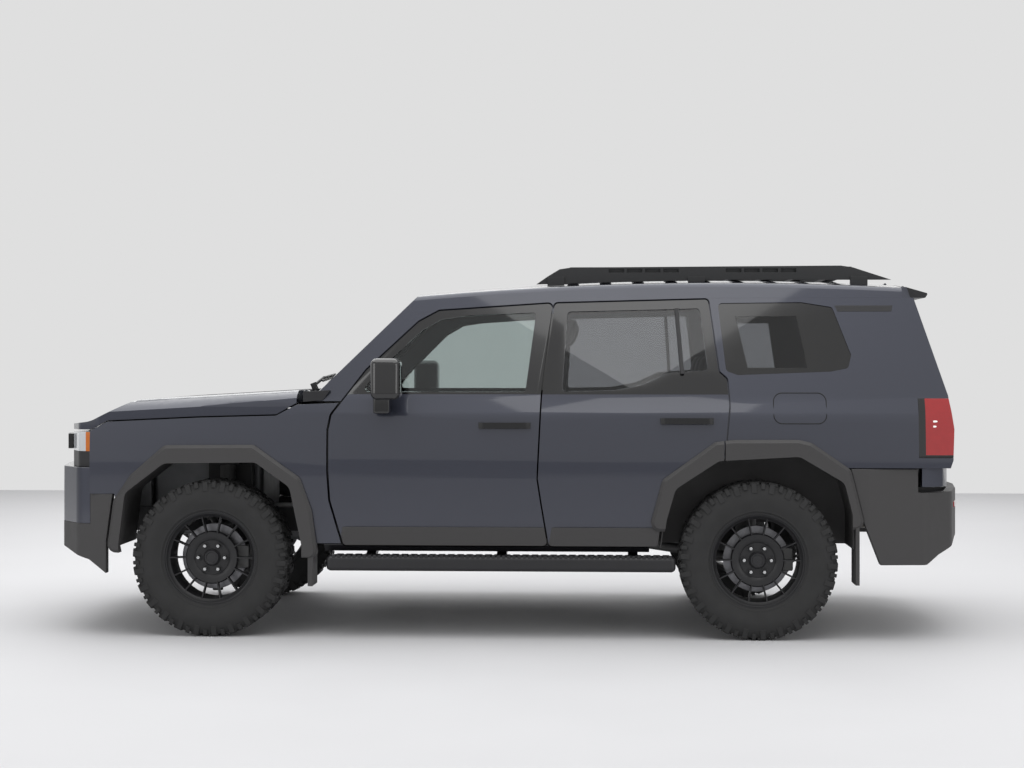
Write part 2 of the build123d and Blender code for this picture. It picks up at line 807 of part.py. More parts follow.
def door_cladding(side):
    """Dark band along the foot of a door; the rear one carries its part of the flare."""
    outline, _, radius = DOOR_TABLE[side]
    below = block((-3000, 3000), (DOOR_Y, FAR), (0, CLADDING_TOP))
    band = shaped(clad_wall, [side_prism(outline, DOOR_Y, FAR, radius=radius), below], [swing_bevel(side)])
    if side == "front":
        return band
    return joined(band, shaped(rear_flare, [ahead_of_split]))


MIRROR_HEAD = ((-865.0, -1018.0), (BODY_HALF_WIDTH + 34, BODY_HALF_WIDTH + 184), (1240.0, 1452.0))


def door_mirror():
    """Left door mirror: rounded head on a foot that stands on the door skin."""
    x_range, y_range, z_range = MIRROR_HEAD
    head = block((fx(x_range[0]), fx(x_range[1])), y_range, z_range, rounding=34)
    reach = (BODY_HALF_WIDTH - 86, BODY_HALF_WIDTH + 94)
    foot = block((fx(-955), fx(-870)), reach, (1168, 1262), rounding=12)
    return shaped(joined(head, foot), [outside_wall])


for side in DOOR_TABLE:
    window_prism = side_prism(DOOR_TABLE[side][1], DOOR_Y, FAR, radius=18, grow=-FIT)
    left_pieces = {
        f"{side}_door": door_panel(side),
        f"{side}_door_glass": pane(window_prism),
        f"{side}_door_cladding": door_cladding(side),
    }
    if side == "front":
        left_pieces["door_mirror"] = door_mirror()
    for name, piece in left_pieces.items():
        for hand in ("left", "right"):
            with BuildPart() as node:
                add(piece if hand == "left" else mirrored(piece))
            write_node(node, f"{name}_{hand}")

# Tailgate with its plate recess, glass and spoiler
PLATE_RECESS = ((-290.0, 900.0), (290.0, 900.0), (330.0, 1060.0), (-330.0, 1060.0))
PLATE_DEPTH = 18.0
with BuildPart() as tailgate:
    window = end_prism(TAIL_WINDOW, TAIL_X - 100, rx(-600), radius=40)
    plate_zone = end_prism(PLATE_RECESS, TAIL_X - 100, rx(-700), radius=24)
    recess = shaped(plate_zone, cuts=[ahead_of_tail(PLATE_DEPTH)])
    add(shaped(LAYER["skin"], [tailgate_prism()], [LAYER["lining"], window, recess]))
    for y in TAILGATE_BARRELS:
        add(cross_barrel(TAILGATE_AXIS, y, 8))
write_node(tailgate, "tailgate")

with BuildPart() as tailgate_glass:
    window = end_prism(TAIL_WINDOW, TAIL_X - 100, rx(-600), radius=40, grow=-FIT)
    add(pane(window))
write_node(tailgate_glass, "tailgate_glass")

SPOILER = (
    (rx(-785), ROOF_HEIGHT - 48),
    (rx(-930), ROOF_HEIGHT - 90),
    (rx(-915), ROOF_HEIGHT - 114),
    (rx(-800), ROOF_HEIGHT - 112),
)
with BuildPart() as spoiler:
    add(shaped(side_prism(SPOILER, -TAILGATE_TOP + 10, TAILGATE_TOP - 10, radius=7), cuts=[LAYER["skin"]]))
write_node(spoiler, "spoiler")

# Fenders, arch flares with mud flaps, and liners
FENDER = (
    (fx(632), 745.0),
    (fx(632), 1074.0),
    (fx(543), 1121.0),
    (fx(64), 1143.0),
    (fx(-349), 1154.0),
    (fx(-455), 1212.0),
    (fx(-720), 1222.0),
    (fx(-720), 490.0),
    (fx(420), 490.0),
    (fx(503), 745.0),
)
with BuildPart() as front_fenders:
    door_space = side_prism(FRONT_DOOR, DOOR_Y, FAR, radius=22, grow=SWING_GAP)
    add(shaped(fender_wall, [side_prism(FENDER, 500, FAR)], [door_space, arch_cut["front"]]))
    tab_y = BODY_HALF_WIDTH - LAYERS["rabbet"]["low"]
    add(block((fx(-612), fx(-602)), (tab_y + 2 * FIT, tab_y + 20), (900, 960)))
    mirror(about=Plane.XZ)
write_node(front_fenders, "front_fenders")

FLAPS = ((fx(-545), fx(-520), 270.0, 484.0), (rx(-512), rx(-493), 290.0, 650.0))
with BuildPart() as wheel_arch_flares:
    add(flare_ring(FLARE_FRONT, ARCH_FRONT))
    add(shaped(rear_flare, [behind_split]))
    for x_low, x_high, z_low, z_high in FLAPS:
        add(block((x_low, x_high), (BODY_HALF_WIDTH - 146, BODY_HALF_WIDTH + 16), (z_low, z_high)))
    mirror(about=Plane.XZ)
write_node(wheel_arch_flares, "wheel_arch_flares")

with BuildPart() as wheel_liners:
    above = block((-3000, 3000), (0, FAR), (472, 1200))
    front = side_prism(ARCH_FRONT, 600, BODY_HALF_WIDTH - 38, radius=60, grow=13.5)
    add(shaped(front, [above], [side_prism(ARCH_FRONT, 500, FAR, radius=60, grow=7)]))
    rear = side_prism(ARCH_REAR, 634, BODY_HALF_WIDTH - 30, radius=60, grow=13.5)
    axle_space = block((rx(-110), rx(110)), (600, 700), (300, 620))
    add(shaped(rear, [above], [side_prism(ARCH_REAR, 640, FAR, radius=60, grow=7), axle_space]))
    mirror(about=Plane.XZ)
write_node(wheel_liners, "wheel_liners")

# Nose: hood, grille, headlamps and bumper share two plan outlines
NOSE_PLAN = two_sided([
    (0.0, BODY_HALF_WIDTH - 24),
    (fx(600), BODY_HALF_WIDTH - 24),
    (fx(715), BODY_HALF_WIDTH - 81),
    (fx(780), BODY_HALF_WIDTH - 206),
    (fx(850), BODY_HALF_WIDTH - 546),
    (fx(866), BODY_HALF_WIDTH - 806),
])
BUMPER_PLAN = two_sided([
    (0.0, BODY_HALF_WIDTH + 6),
    (fx(520), BODY_HALF_WIDTH + 6),
    (fx(700), BODY_HALF_WIDTH - 31),
    (fx(830), BODY_HALF_WIDTH - 206),
    (fx(897), BODY_HALF_WIDTH - 516),
    (NOSE_X, BODY_HALF_WIDTH - 786),
])
HOOD_TOP = ((fx(-452), 1286.0), (fx(410), 1237.0), (fx(640), 1122.0), (fx(900), 1092.0))
HOOD_LINE = (
    (fx(-452), 1220.0),
    (fx(-349), 1161.0),
    (fx(64), 1150.0),
    (fx(543), 1128.0),
    (fx(634), 1080.0),
    (fx(900), 1074.0),
)
HOOD_THICKNESS = 28.0
HOOD_HALF = BODY_HALF_WIDTH + 19
HOOD_SHOULDER = 180.0
SHOULDER_LIFT = 2.0
HOOD_STEP = 10.0
STEP_PLAN = two_sided([(fx(-400), 455.0), (fx(300), 395.0), (fx(350), 360.0)])
HOOD_AXIS = (fx(-464), 1270.0)
HOOD_BARRELS = (-640.0, 640.0)


def nose_block(inset, low, high):
    """Space behind the nose outline, drawn in by an amount."""
    return plan_prism(NOSE_PLAN, low, high, radius=60, grow=-inset if inset else 0)


def bumper_block(inset, low, high):
    """Space behind the bumper outline, drawn in by an amount."""
    return plan_prism(BUMPER_PLAN, low, high, radius=90, grow=-inset if inset else 0)


def under_hood(depth):
    """Everything under the hood's top line and its rounded shoulders, drawn down by a depth."""
    line = [(x, z - depth) for x, z in HOOD_TOP]
    top = side_prism([*line, (fx(900), 300.0), (fx(-452), 300.0)], -FAR, FAR, radius=(0, 260, 200, 0, 0, 0))
    (x_rear, z_rear), (x_front, z_front) = line[:2]
    half = HOOD_HALF - depth
    round_over = HOOD_SHOULDER - depth
    crown = z_rear + SHOULDER_LIFT
    section = [(-half, 200.0), (half, 200.0), (half, crown), (-half, crown)]
    along = Vector(x_front - x_rear, 0, z_front - z_rear).normalized()
    with BuildPart(mode=Mode.PRIVATE) as space:
        with BuildSketch(Plane.YZ.offset(x_rear)):
            with BuildLine():
                FilletPolyline(*section, radius=(0, 0, round_over, round_over), close=True)
            make_face()
        extrude(amount=FRONT_OVERHANG + 900, dir=along, both=True)
        add(top, mode=Mode.INTERSECT)
    return space.part


with BuildPart() as hood:
    outside = shaped(side_walls(0, 0), [under_hood(0), nose_block(4, 500, 1400)])
    inside = shaped(
        side_walls(HOOD_THICKNESS, HOOD_THICKNESS),
        [
            under_hood(HOOD_THICKNESS),
            nose_block(4 + HOOD_THICKNESS, 500, 1400),
            block((fx(-420), 3000), (-FAR, FAR), (0, 2000)),
        ],
    )
    above_line = side_prism([*HOOD_LINE, (fx(900), 1500), (fx(-452), 1500)], -FAR, FAR)
    step = shaped(plan_prism(STEP_PLAN, 1100, 1400, radius=40), cuts=[under_hood(HOOD_STEP)])
    add(shaped(outside, [above_line], [inside, step]))
    for y in HOOD_BARRELS:
        add(cross_barrel(HOOD_AXIS, y, 14))
write_node(hood, "hood")

COWL_SIDE = (
    (fx(-640), COWL_Z + 0.2),
    (fx(-640), 1262.0),
    (fx(-540), 1258.0),
    (fx(-484), 1240.0),
    (fx(-484), COWL_Z + 0.2),
)
with BuildPart() as cowl:
    add(side_prism(COWL_SIDE, 166 - BODY_HALF_WIDTH, BODY_HALF_WIDTH - 166))
    for y in HOOD_BARRELS:
        add(block((fx(-500), fx(-458)), (y - 22, y + 22), (COWL_Z + 2, 1262)))
    for y in HOOD_BARRELS:
        add(cross_barrel(HOOD_AXIS, y, 14 + FIT, 100), mode=Mode.SUBTRACT)
write_node(cowl, "cowl")

LAMP_LOW = 882.0
LAMP_HIGH = 1066.0
LAMP_INNER = 520.0
with BuildPart() as headlamps:
    zone = block((fx(632) + FIT, 3000), (LAMP_INNER, FAR), (LAMP_LOW, LAMP_HIGH))
    add(shaped(nose_block(4, 500, 1400), [zone], [nose_block(74, 500, 1400)]))
    mirror(about=Plane.XZ)
write_node(headlamps, "headlamps")

GRILLE_ROWS = 4
with BuildPart() as grille:
    zone = block((fx(632), 3000), (-LAMP_INNER + FIT, LAMP_INNER - FIT), (LAMP_LOW, LAMP_HIGH - 12))
    add(shaped(nose_block(14, 500, 1400), [zone], [nose_block(54, 500, 1400)]))
    pitch = (LAMP_HIGH - 12 - LAMP_LOW - 24) / GRILLE_ROWS
    for row in range(GRILLE_ROWS):
        low = LAMP_LOW + 18 + pitch * row
        add(block((fx(500), 3000), (-490, 490), (low, low + pitch - 12)), mode=Mode.SUBTRACT)
write_node(grille, "grille")

BAR_LOW = 588.0
bumper_ring = shaped(bumper_block(0, 280, 900), cuts=[bumper_block(52, 270, 910)])
ahead_of_fender = block((fx(632) + FIT, 3000), (-FAR, FAR), (BAR_LOW, LAMP_LOW - FIT))
INTAKE = ((-520.0, 620.0), (520.0, 620.0), (600.0, 790.0), (-600.0, 790.0))
with BuildPart() as front_bumper_bar:
    add(shaped(bumper_ring, [ahead_of_fender], [end_prism(INTAKE, fx(500), 3000, radius=20)]))
write_node(front_bumper_bar, "front_bumper_bar")

BUMPER_SIDE = (
    (fx(632), 744.0),
    (fx(632), BAR_LOW - FIT),
    (3000.0, BAR_LOW - FIT),
    (3000.0, 470.0),
    (fx(880), 470.0),
    (fx(640), 400.0),
    (fx(545), 330.0),
    (fx(545), 500.0),
    (fx(510), 744.0),
)
RAIL_INNER = RAIL_Y - RAIL_WIDTH / 2
RAIL_OUTER = RAIL_Y + RAIL_WIDTH / 2
FRAME_FRONT = fx(820)
FRAME_REAR = rx(-1040)
with BuildPart() as front_bumper:
    cuts = [side_prism(FLARE_FRONT, -FAR, FAR, radius=45, grow=FIT)]
    add(shaped(bumper_ring, [side_prism(BUMPER_SIDE, -FAR, FAR)], cuts))
    for y in (RAIL_Y, -RAIL_Y):
        add(block((FRAME_FRONT, fx(880)), (y - 30, y + 30), (520, 580)))
write_node(front_bumper, "front_bumper")

# Rear bumper with its side wings, and the hitch receiver
TAIL_PLAN = two_sided([
    (0.0, BODY_HALF_WIDTH + 2),
    (rx(-560), BODY_HALF_WIDTH + 2),
    (rx(-860), BODY_HALF_WIDTH - 21),
    (rx(-1010), BODY_HALF_WIDTH - 146),
    (rx(-1090), BODY_HALF_WIDTH - 466),
    (TAIL_X, BODY_HALF_WIDTH - 786),
])
BUMPER_WING = (
    (rx(-470), 886.0),
    (rx(-815), 886.0),
    (rx(-815), 764.0),
    (-3000.0, 764.0),
    (-3000.0, 560.0),
    (rx(-1070), 505.0),
    (rx(-930), 440.0),
    (rx(-860), 392.0),
    (rx(-620), 392.0),
    (rx(-500), 700.0),
)
HITCH_HALF = 38.0
HITCH_TUBE = 51.0
HITCH_Z = 470.0
HITCH_BORE = 8.0
HITCH_REAR = rx(-1136)
with BuildPart() as rear_bumper:
    ring = shaped(
        plan_prism(TAIL_PLAN, 380, 900, radius=90),
        cuts=[plan_prism(TAIL_PLAN, 370, 910, radius=90, grow=-50)],
    )
    cuts = [
        side_prism(FLARE_REAR, -FAR, FAR, radius=45, grow=FIT),
        block((TAIL_X - 100, rx(-900)), (-70, 70), (300, HITCH_Z + HITCH_HALF + 22)),
    ]
    add(shaped(ring, [side_prism(BUMPER_WING, -FAR, FAR)], cuts))
    for y in (RAIL_Y, -RAIL_Y):
        add(block((rx(-1075), FRAME_REAR), (y - 30, y + 30), (640, 720)))
write_node(rear_bumper, "rear_bumper")

with BuildPart() as hitch_receiver:
    add(block((HITCH_REAR, FRAME_REAR), (-HITCH_HALF, HITCH_HALF), (HITCH_Z - HITCH_HALF, HITCH_Z + HITCH_HALF)))
    hole = HITCH_TUBE / 2
    add(block((HITCH_REAR - 1, FRAME_REAR + 20), (-hole, hole), (HITCH_Z - hole, HITCH_Z + hole)), mode=Mode.SUBTRACT)
    pin_x = HITCH_REAR + 34
    add(rod((pin_x, -60, HITCH_Z), (pin_x, 60, HITCH_Z), HITCH_BORE), mode=Mode.SUBTRACT)
write_node(hitch_receiver, "hitch_receiver")

# Ladder frame
KICK_START = rx(700)
KICK_END = rx(430)
RAIL_REAR_TOP = RAIL_TOP + RAIL_KICK
kick_line = [(KICK_START, RAIL_TOP), (KICK_END, RAIL_REAR_TOP)]
rail_line = [(FRAME_FRONT, RAIL_TOP), *kick_line, (FRAME_REAR, RAIL_REAR_TOP)]
rail_outline = [*rail_line, *[(x, z - RAIL_HEIGHT) for x, z in reversed(rail_line)]]
CROSS_MEMBERS = (fx(770), fx(-960), fx(-1500), rx(520), rx(-420))
TOWER_HALF = 120.0
STRUT_TOP = 890.0
with BuildPart() as ladder_frame:
    for y in (RAIL_Y, -RAIL_Y):
        add(side_prism(rail_outline, y - RAIL_WIDTH / 2, y + RAIL_WIDTH / 2))
        add(block((fx(-TOWER_HALF), fx(TOWER_HALF)), (y - RAIL_WIDTH / 2, y + RAIL_WIDTH / 2), (290, STRUT_TOP)))
        outboard = math.copysign(RAIL_OUTER - 4, y)
        shelf = math.copysign(RAIL_OUTER + 110, y)
        add(block((fx(-70), fx(70)), sorted((outboard, shelf)), (STRUT_TOP - 14, STRUT_TOP)))
    for x in CROSS_MEMBERS:
        z = RAIL_TOP if x > KICK_END else RAIL_REAR_TOP
        add(rod((x, -RAIL_Y, z - 70), (x, RAIL_Y, z - 70), 34))
    add(block((FRAME_REAR, FRAME_REAR + 60), (-RAIL_Y, RAIL_Y), (HITCH_Z - 40, RAIL_REAR_TOP - 40)))
write_node(ladder_frame, "ladder_frame")

# Floor pan on the rails
FLOOR_FRONT = fx(-640) - FIT
floor_line = [(FLOOR_FRONT, RAIL_TOP), *kick_line, (rx(-860), RAIL_REAR_TOP)]
floor_outline = [*floor_line, *[(x, z + FLOOR_THICKNESS) for x, z in reversed(floor_line)]]
with BuildPart() as floor_pan:
    wheel_space = side_prism(ARCH_REAR, 634 - FIT, FAR, radius=60, grow=14)
    add(shaped(LAYER["trim"], [side_prism(floor_outline, -FAR, FAR)], [wheel_space, mirrored(wheel_space)]))
write_node(floor_pan, "floor_pan")

# Powertrain, exhaust and tank
PROP_Z = 490.0
with BuildPart() as powertrain:
    add(block((fx(-150), fx(470)), (-270, 270), (470, 1060), rounding=30))
    add(block((fx(470), fx(560)), (-300, 300), (600, 1020), rounding=10))
    add(block((fx(-900), fx(-120)), (-150, 150), (430, 620), rounding=30))
    add(block((fx(-180), fx(180)), (-140, 140), (340, 500), rounding=30))
    add(rod((fx(-880), 0, PROP_Z), (rx(166), 0, AXLE_Z), 38))
    add(rod((AXLE_F, -RAIL_INNER + FIT, 430), (AXLE_F, RAIL_INNER - FIT, 430), 22))
write_node(powertrain, "powertrain")

PIPE_Y = -290.0
PIPE_Z = 520.0
with BuildPart() as exhaust:
    add(rod((fx(-900), PIPE_Y, 470), (rx(600), PIPE_Y, 470), 30))
    add(rod((rx(600) + 8, PIPE_Y, 466), (rx(300), PIPE_Y, 560), 30))
    add(rod((rx(300) + 8, PIPE_Y, 560), (rx(-500), PIPE_Y, 560), 30))
    add(block((rx(-960), rx(-480)), (PIPE_Y - 60, PIPE_Y + 110), (480, 626), rounding=40))
    add(rod((rx(-420), PIPE_Y, 570), (rx(-420), PIPE_Y, RAIL_REAR_TOP - 104 - FIT), 8))
    add(rod((fx(-960), PIPE_Y, 480), (fx(-960), PIPE_Y, RAIL_TOP - 104 - FIT), 8))
write_node(exhaust, "exhaust")

with BuildPart() as fuel_tank:
    add(block((rx(565), fx(-1545)), (70, RAIL_INNER - FIT), (430, 612), rounding=24))
write_node(fuel_tank, "fuel_tank")

# Wheels
BEAD_RADIUS = 236.0
BEAD_HALF = 92.0
BULGE_RADIUS = 326.0
SHOULDER_RADIUS = TYRE_RADIUS - 26.0
TREAD_HALF = 114.0
LUG_PITCH = 360.0 / LUG_COUNT
LUG_CORNER = TYRE_RADIUS / math.cos(math.radians(LUG_PITCH / 4 - LUG_SPAN / 2))
HUB_RADIUS = 72.0
HUB_INNER = -36.0
FACE_THICKNESS = 26.0
WHEEL_STATIONS = {
    "front_left": (AXLE_F, 1),
    "front_right": (AXLE_F, -1),
    "rear_left": (AXLE_R, 1),
    "rear_right": (AXLE_R, -1),
}
half_tyre = TYRE_WIDTH / 2
WHEEL_AXIS = Axis((AXLE_F, 0, AXLE_Z), (0, 1, 0))
wheel_plane = Plane(origin=(AXLE_F, WHEEL_Y, AXLE_Z), x_dir=(0, 1, 0), z_dir=(-1, 0, 0))
tread_plane = Plane(origin=(AXLE_F, WHEEL_Y, AXLE_Z), x_dir=(0, 0, -1), z_dir=(0, 1, 0))


def turned(points, radius=0.0):
    """Left front wheel ring: points give the distance outboard and the radius."""
    with BuildPart(mode=Mode.PRIVATE) as ring:
        with BuildSketch(wheel_plane):
            with BuildLine():
                if radius:
                    FilletPolyline(*points, radius=radius, close=True)
                else:
                    Polyline(*points, close=True)
            make_face()
        revolve(axis=WHEEL_AXIS)
    return ring.part


def faceted(sections):
    """Wheel ring through regular outlines with one side per lug: distance outboard and radius of each."""
    with BuildPart(mode=Mode.PRIVATE) as ring:
        for distance, radius in sections:
            with BuildSketch(tread_plane.offset(distance)):
                RegularPolygon(radius, LUG_COUNT, major_radius=False, rotation=-LUG_PITCH / 2)
        loft(ruled=True)
    return ring.part


def lug_band(low, high, turn):
    """Lugs round one half of the tread, standing on its flat belt."""
    belt = TYRE_RADIUS - LUG_DEPTH
    tip = LUG_CORNER * math.cos(math.radians(LUG_SPAN / 2))
    width = 2 * LUG_CORNER * math.sin(math.radians(LUG_SPAN / 2))
    with BuildPart(mode=Mode.PRIVATE) as band:
        with BuildSketch(tread_plane.offset(low)):
            RegularPolygon(belt, LUG_COUNT, major_radius=False, rotation=-LUG_PITCH / 2)
            with PolarLocations(tip - LUG_DEPTH, LUG_COUNT, start_angle=turn):
                Rectangle(2 * LUG_DEPTH, width)
        extrude(amount=high - low)
    return band.part


def tyre():
    """Tyre with two rows of lugs, half a pitch apart, between bulging and dished sidewalls."""
    shoulder = [(TREAD_HALF, SHOULDER_RADIUS), (half_tyre, BULGE_RADIUS)]
    dish = [(half_tyre, BULGE_RADIUS), (BEAD_HALF, BEAD_RADIUS)]
    inboard = [[(-distance, radius) for distance, radius in wall] for wall in (shoulder, dish)]
    bands = [lug_band(0, TREAD_HALF, LUG_PITCH / 4), lug_band(-TREAD_HALF, 0, -LUG_PITCH / 4)]
    bore = faceted([(-half_tyre, BEAD_RADIUS), (half_tyre, BEAD_RADIUS)])
    whole = joined(*bands, faceted(shoulder), faceted(inboard[0]))
    return shaped(whole, cuts=[faceted(dish), faceted(inboard[1]), bore])


def rim():
    """Barrel, face, hub and brake disc as one turned section, with windows between the spokes."""
    half = RIM_WIDTH / 2
    face = HUB_FACE_OFFSET
    section = [
        (HUB_INNER, 0),
        (HUB_INNER, DISC_RADIUS),
        (HUB_INNER + DISC_THICKNESS, DISC_RADIUS),
        (HUB_INNER + DISC_THICKNESS, HUB_RADIUS),
        (face, HUB_RADIUS),
        (face + 4, 90),
        (face + 26, RIM_BARREL_RADIUS),
        (-half, RIM_BARREL_RADIUS + 6),
        (-half, RIM_RADIUS),
        (-half + 10, RIM_RADIUS),
        (-half + 12, BEAD_RADIUS - FIT),
        (half - 12, BEAD_RADIUS - FIT),
        (half - 10, RIM_RADIUS),
        (half, RIM_RADIUS),
        (half, RIM_BARREL_RADIUS + 14),
        (face + 26 + FACE_THICKNESS, RIM_BARREL_RADIUS),
        (face + FACE_THICKNESS + 6, 90),
        (face + FACE_THICKNESS + 10, 34),
        (face + FACE_THICKNESS + 16, 30),
        (face + FACE_THICKNESS + 16, 0),
    ]
    with BuildPart(mode=Mode.PRIVATE) as windows:
        with BuildSketch(Plane.XZ.offset(-WHEEL_Y - HUB_FACE_OFFSET + 10)):
            with Locations((AXLE_F, AXLE_Z)):
                with PolarLocations(156, SPOKE_COUNT):
                    Trapezoid(66, 96, 81.7, rotation=90)
        extrude(amount=-110)
    return shaped(turned(section), cuts=[windows.part])


tyre_part = tyre()
rim_part = rim()
for name, (station, hand) in WHEEL_STATIONS.items():
    for kind, piece in (("tyre", tyre_part), ("rim", rim_part)):
        with BuildPart() as node:
            placed = piece if hand > 0 else mirrored(piece)
            add(placed.moved(Location((station - AXLE_F, 0, 0))))
        write_node(node, f"{kind}_{name}")

# Front knuckles, arms and struts; rear axle
CALIPER_OUT = 198.0
hub_face_y = WHEEL_Y + HUB_INNER - FIT
BOSS_RADIUS = 28.0


def caliper(station, direction):
    """Brake caliper that straddles the left disc on one side of the axle."""
    inner_y = WHEEL_Y + HUB_INNER - 46
    outer_y = WHEEL_Y + HUB_INNER + DISC_THICKNESS + 24
    x_range = sorted((station + direction * 118, station + direction * 188))
    body = block(x_range, (inner_y, outer_y), (AXLE_Z - 60, AXLE_Z + 60), rounding=8)
    slot_y = (WHEEL_Y + HUB_INNER - 4, WHEEL_Y + HUB_INNER + DISC_THICKNESS + 4)
    slot = rod((station, slot_y[0], AXLE_Z), (station, slot_y[1], AXLE_Z), DISC_RADIUS + 5)
    arm_x = sorted((station, station + direction * 150))
    arm = block(arm_x, (inner_y, inner_y + 26), (AXLE_Z - 30, AXLE_Z + 30))
    return shaped(joined(body, arm), cuts=[slot])


with BuildPart() as knuckle:
    add(rod((AXLE_F, KINGPIN_Y - 30, AXLE_Z), (AXLE_F, hub_face_y, AXLE_Z), 62))
    span = (BALL_JOINT_LOW + 30 + FIT, BALL_JOINT_TOP - 20 - FIT)
    add(block((fx(-30), fx(30)), (KINGPIN_Y - 28, KINGPIN_Y + 24), span))
    add(caliper(AXLE_F, -1))
write_node(knuckle, "knuckle_left")
with BuildPart() as knuckle_right:
    add(mirrored(knuckle.part))
write_node(knuckle_right, "knuckle_right")

ARM_SPREAD = 100.0
PIVOT_Y = RAIL_OUTER + FIT + 22
# Lower and upper arm: height of the ball joint, height of the pivot, reach of the boss below and above
ARMS = (
    (BALL_JOINT_LOW, 300.0, (-30, 30)),
    (BALL_JOINT_TOP, BALL_JOINT_TOP + 30, (-20, 24)),
)
with BuildPart() as front_suspension:
    for height, pivot_z, boss in ARMS:
        add(rod((fx(-ARM_SPREAD - 20), PIVOT_Y, pivot_z), (fx(ARM_SPREAD + 20), PIVOT_Y, pivot_z), 22))
        add(rod((AXLE_F, KINGPIN_Y, height + boss[0]), (AXLE_F, KINGPIN_Y, height + boss[1]), BOSS_RADIUS))
        for spread in (-ARM_SPREAD, ARM_SPREAD):
            add(rod((AXLE_F + spread, PIVOT_Y, pivot_z), (AXLE_F, KINGPIN_Y, height + sum(boss) / 2), 17))
    add(rod((AXLE_F, 606, 268), (AXLE_F, 486, STRUT_TOP - 14 - FIT - 8.2), 42))
    mirror(about=Plane.XZ)
write_node(front_suspension, "front_suspension")

LINK_Y = RAIL_Y
COIL_TOP = RAIL_REAR_TOP - RAIL_HEIGHT - FIT
with BuildPart() as rear_axle:
    add(rod((AXLE_R, -hub_face_y, AXLE_Z), (AXLE_R, hub_face_y, AXLE_Z), 46))
    with Locations((AXLE_R, 0, AXLE_Z)):
        Sphere(138)
    add(rod((rx(100), 0, AXLE_Z), (rx(158), 0, AXLE_Z), 52))
    for hand in (1, -1):
        add(rod((rx(20), hand * LINK_Y, AXLE_Z - 20), (rx(20), hand * LINK_Y, COIL_TOP), 56))
        add(rod((AXLE_R, hand * LINK_Y, AXLE_Z - 50), (rx(680), hand * LINK_Y, 460), 26))
        add(block((rx(640), rx(700)), (hand * LINK_Y - 24, hand * LINK_Y + 24), (440, RAIL_TOP - RAIL_HEIGHT - FIT)))
    rear_caliper = caliper(AXLE_R, -1)
    add(rear_caliper)
    add(mirrored(rear_caliper))
write_node(rear_axle, "rear_axle")

# Side steps
STEP_FRONT = fx(-615)
STEP_REAR = rx(425)
STEP_INNER = BODY_HALF_WIDTH - 86
with BuildPart() as side_steps:
    add(block((STEP_REAR, STEP_FRONT), (STEP_INNER, STEP_INNER + 105), (350, 430), rounding=24))
    bracket = (
        (RAIL_OUTER + FIT, 548.0),
        (RAIL_OUTER + FIT, 512.0),
        (STEP_INNER, 372.0),
        (STEP_INNER + 50, 372.0),
        (STEP_INNER + 50, 408.0),
        (STEP_INNER, 414.0),
    )
    for part_of_run in (0.12, 0.5, 0.88):
        x = STEP_REAR + (STEP_FRONT - STEP_REAR) * part_of_run
        add(end_prism(bracket, x - 25, x + 25))
    mirror(about=Plane.XZ)
write_node(side_steps, "side_steps")

# Roof rack
RACK_Y = BODY_HALF_WIDTH - 354
RACK_PLATE = 10.0
RACK_SIDE = (
    (fx(-1695), ROOF_HEIGHT - 39),
    (fx(-1755), ROOF_HEIGHT + 3),
    (fx(-1820), ROOF_HEIGHT + 42),
    (fx(-1880), ROOF_HEIGHT + 51),
    (rx(-466), ROOF_HEIGHT + 58),
    (rx(-530), ROOF_HEIGHT + 48),
    (rx(-731), ROOF_HEIGHT - 18),
    (rx(-520), ROOF_HEIGHT - 18),
    (rx(215), ROOF_HEIGHT - 16),
)
RACK_SLATS = 9
RACK_DECK = ROOF_HEIGHT + 20
SLOT_GROUPS = (fx(-2083), fx(-2707))
SLOT_COUNT = 4
SLOT_PITCH = 97.0
SLOT_LENGTH = 82.0
SLOT_HEIGHT = 20.0
rack_slots = []
for group in SLOT_GROUPS:
    for number in range(SLOT_COUNT):
        front = group - SLOT_PITCH * number
        span = (front - SLOT_LENGTH, front)
        rack_slots.append(block(span, (-FAR, FAR), (RACK_DECK + 3, RACK_DECK + 3 + SLOT_HEIGHT)))
RACK_FEET = (fx(-1800), rx(300), rx(-560))
with BuildPart() as roof_rack:
    for y in (RACK_Y, -RACK_Y):
        add(shaped(side_prism(RACK_SIDE, y - RACK_PLATE / 2, y + RACK_PLATE / 2), cuts=rack_slots))
    run = (fx(-1885), rx(-480))
    for slat in range(RACK_SLATS):
        x = run[0] + (run[1] - run[0]) * slat / (RACK_SLATS - 1)
        add(block((x - 32, x + 32), (-RACK_Y, RACK_Y), (RACK_DECK - 14, RACK_DECK)))
    clear_roof = under_roof(-FIT)
    for x in RACK_FEET:
        for y in (RACK_Y, -RACK_Y):
            add(shaped(block((x - 45, x + 45), (y - 16, y + 16), (ROOF_HEIGHT - 110, ROOF_HEIGHT)), cuts=[clear_roof]))
write_node(roof_rack, "roof_rack")

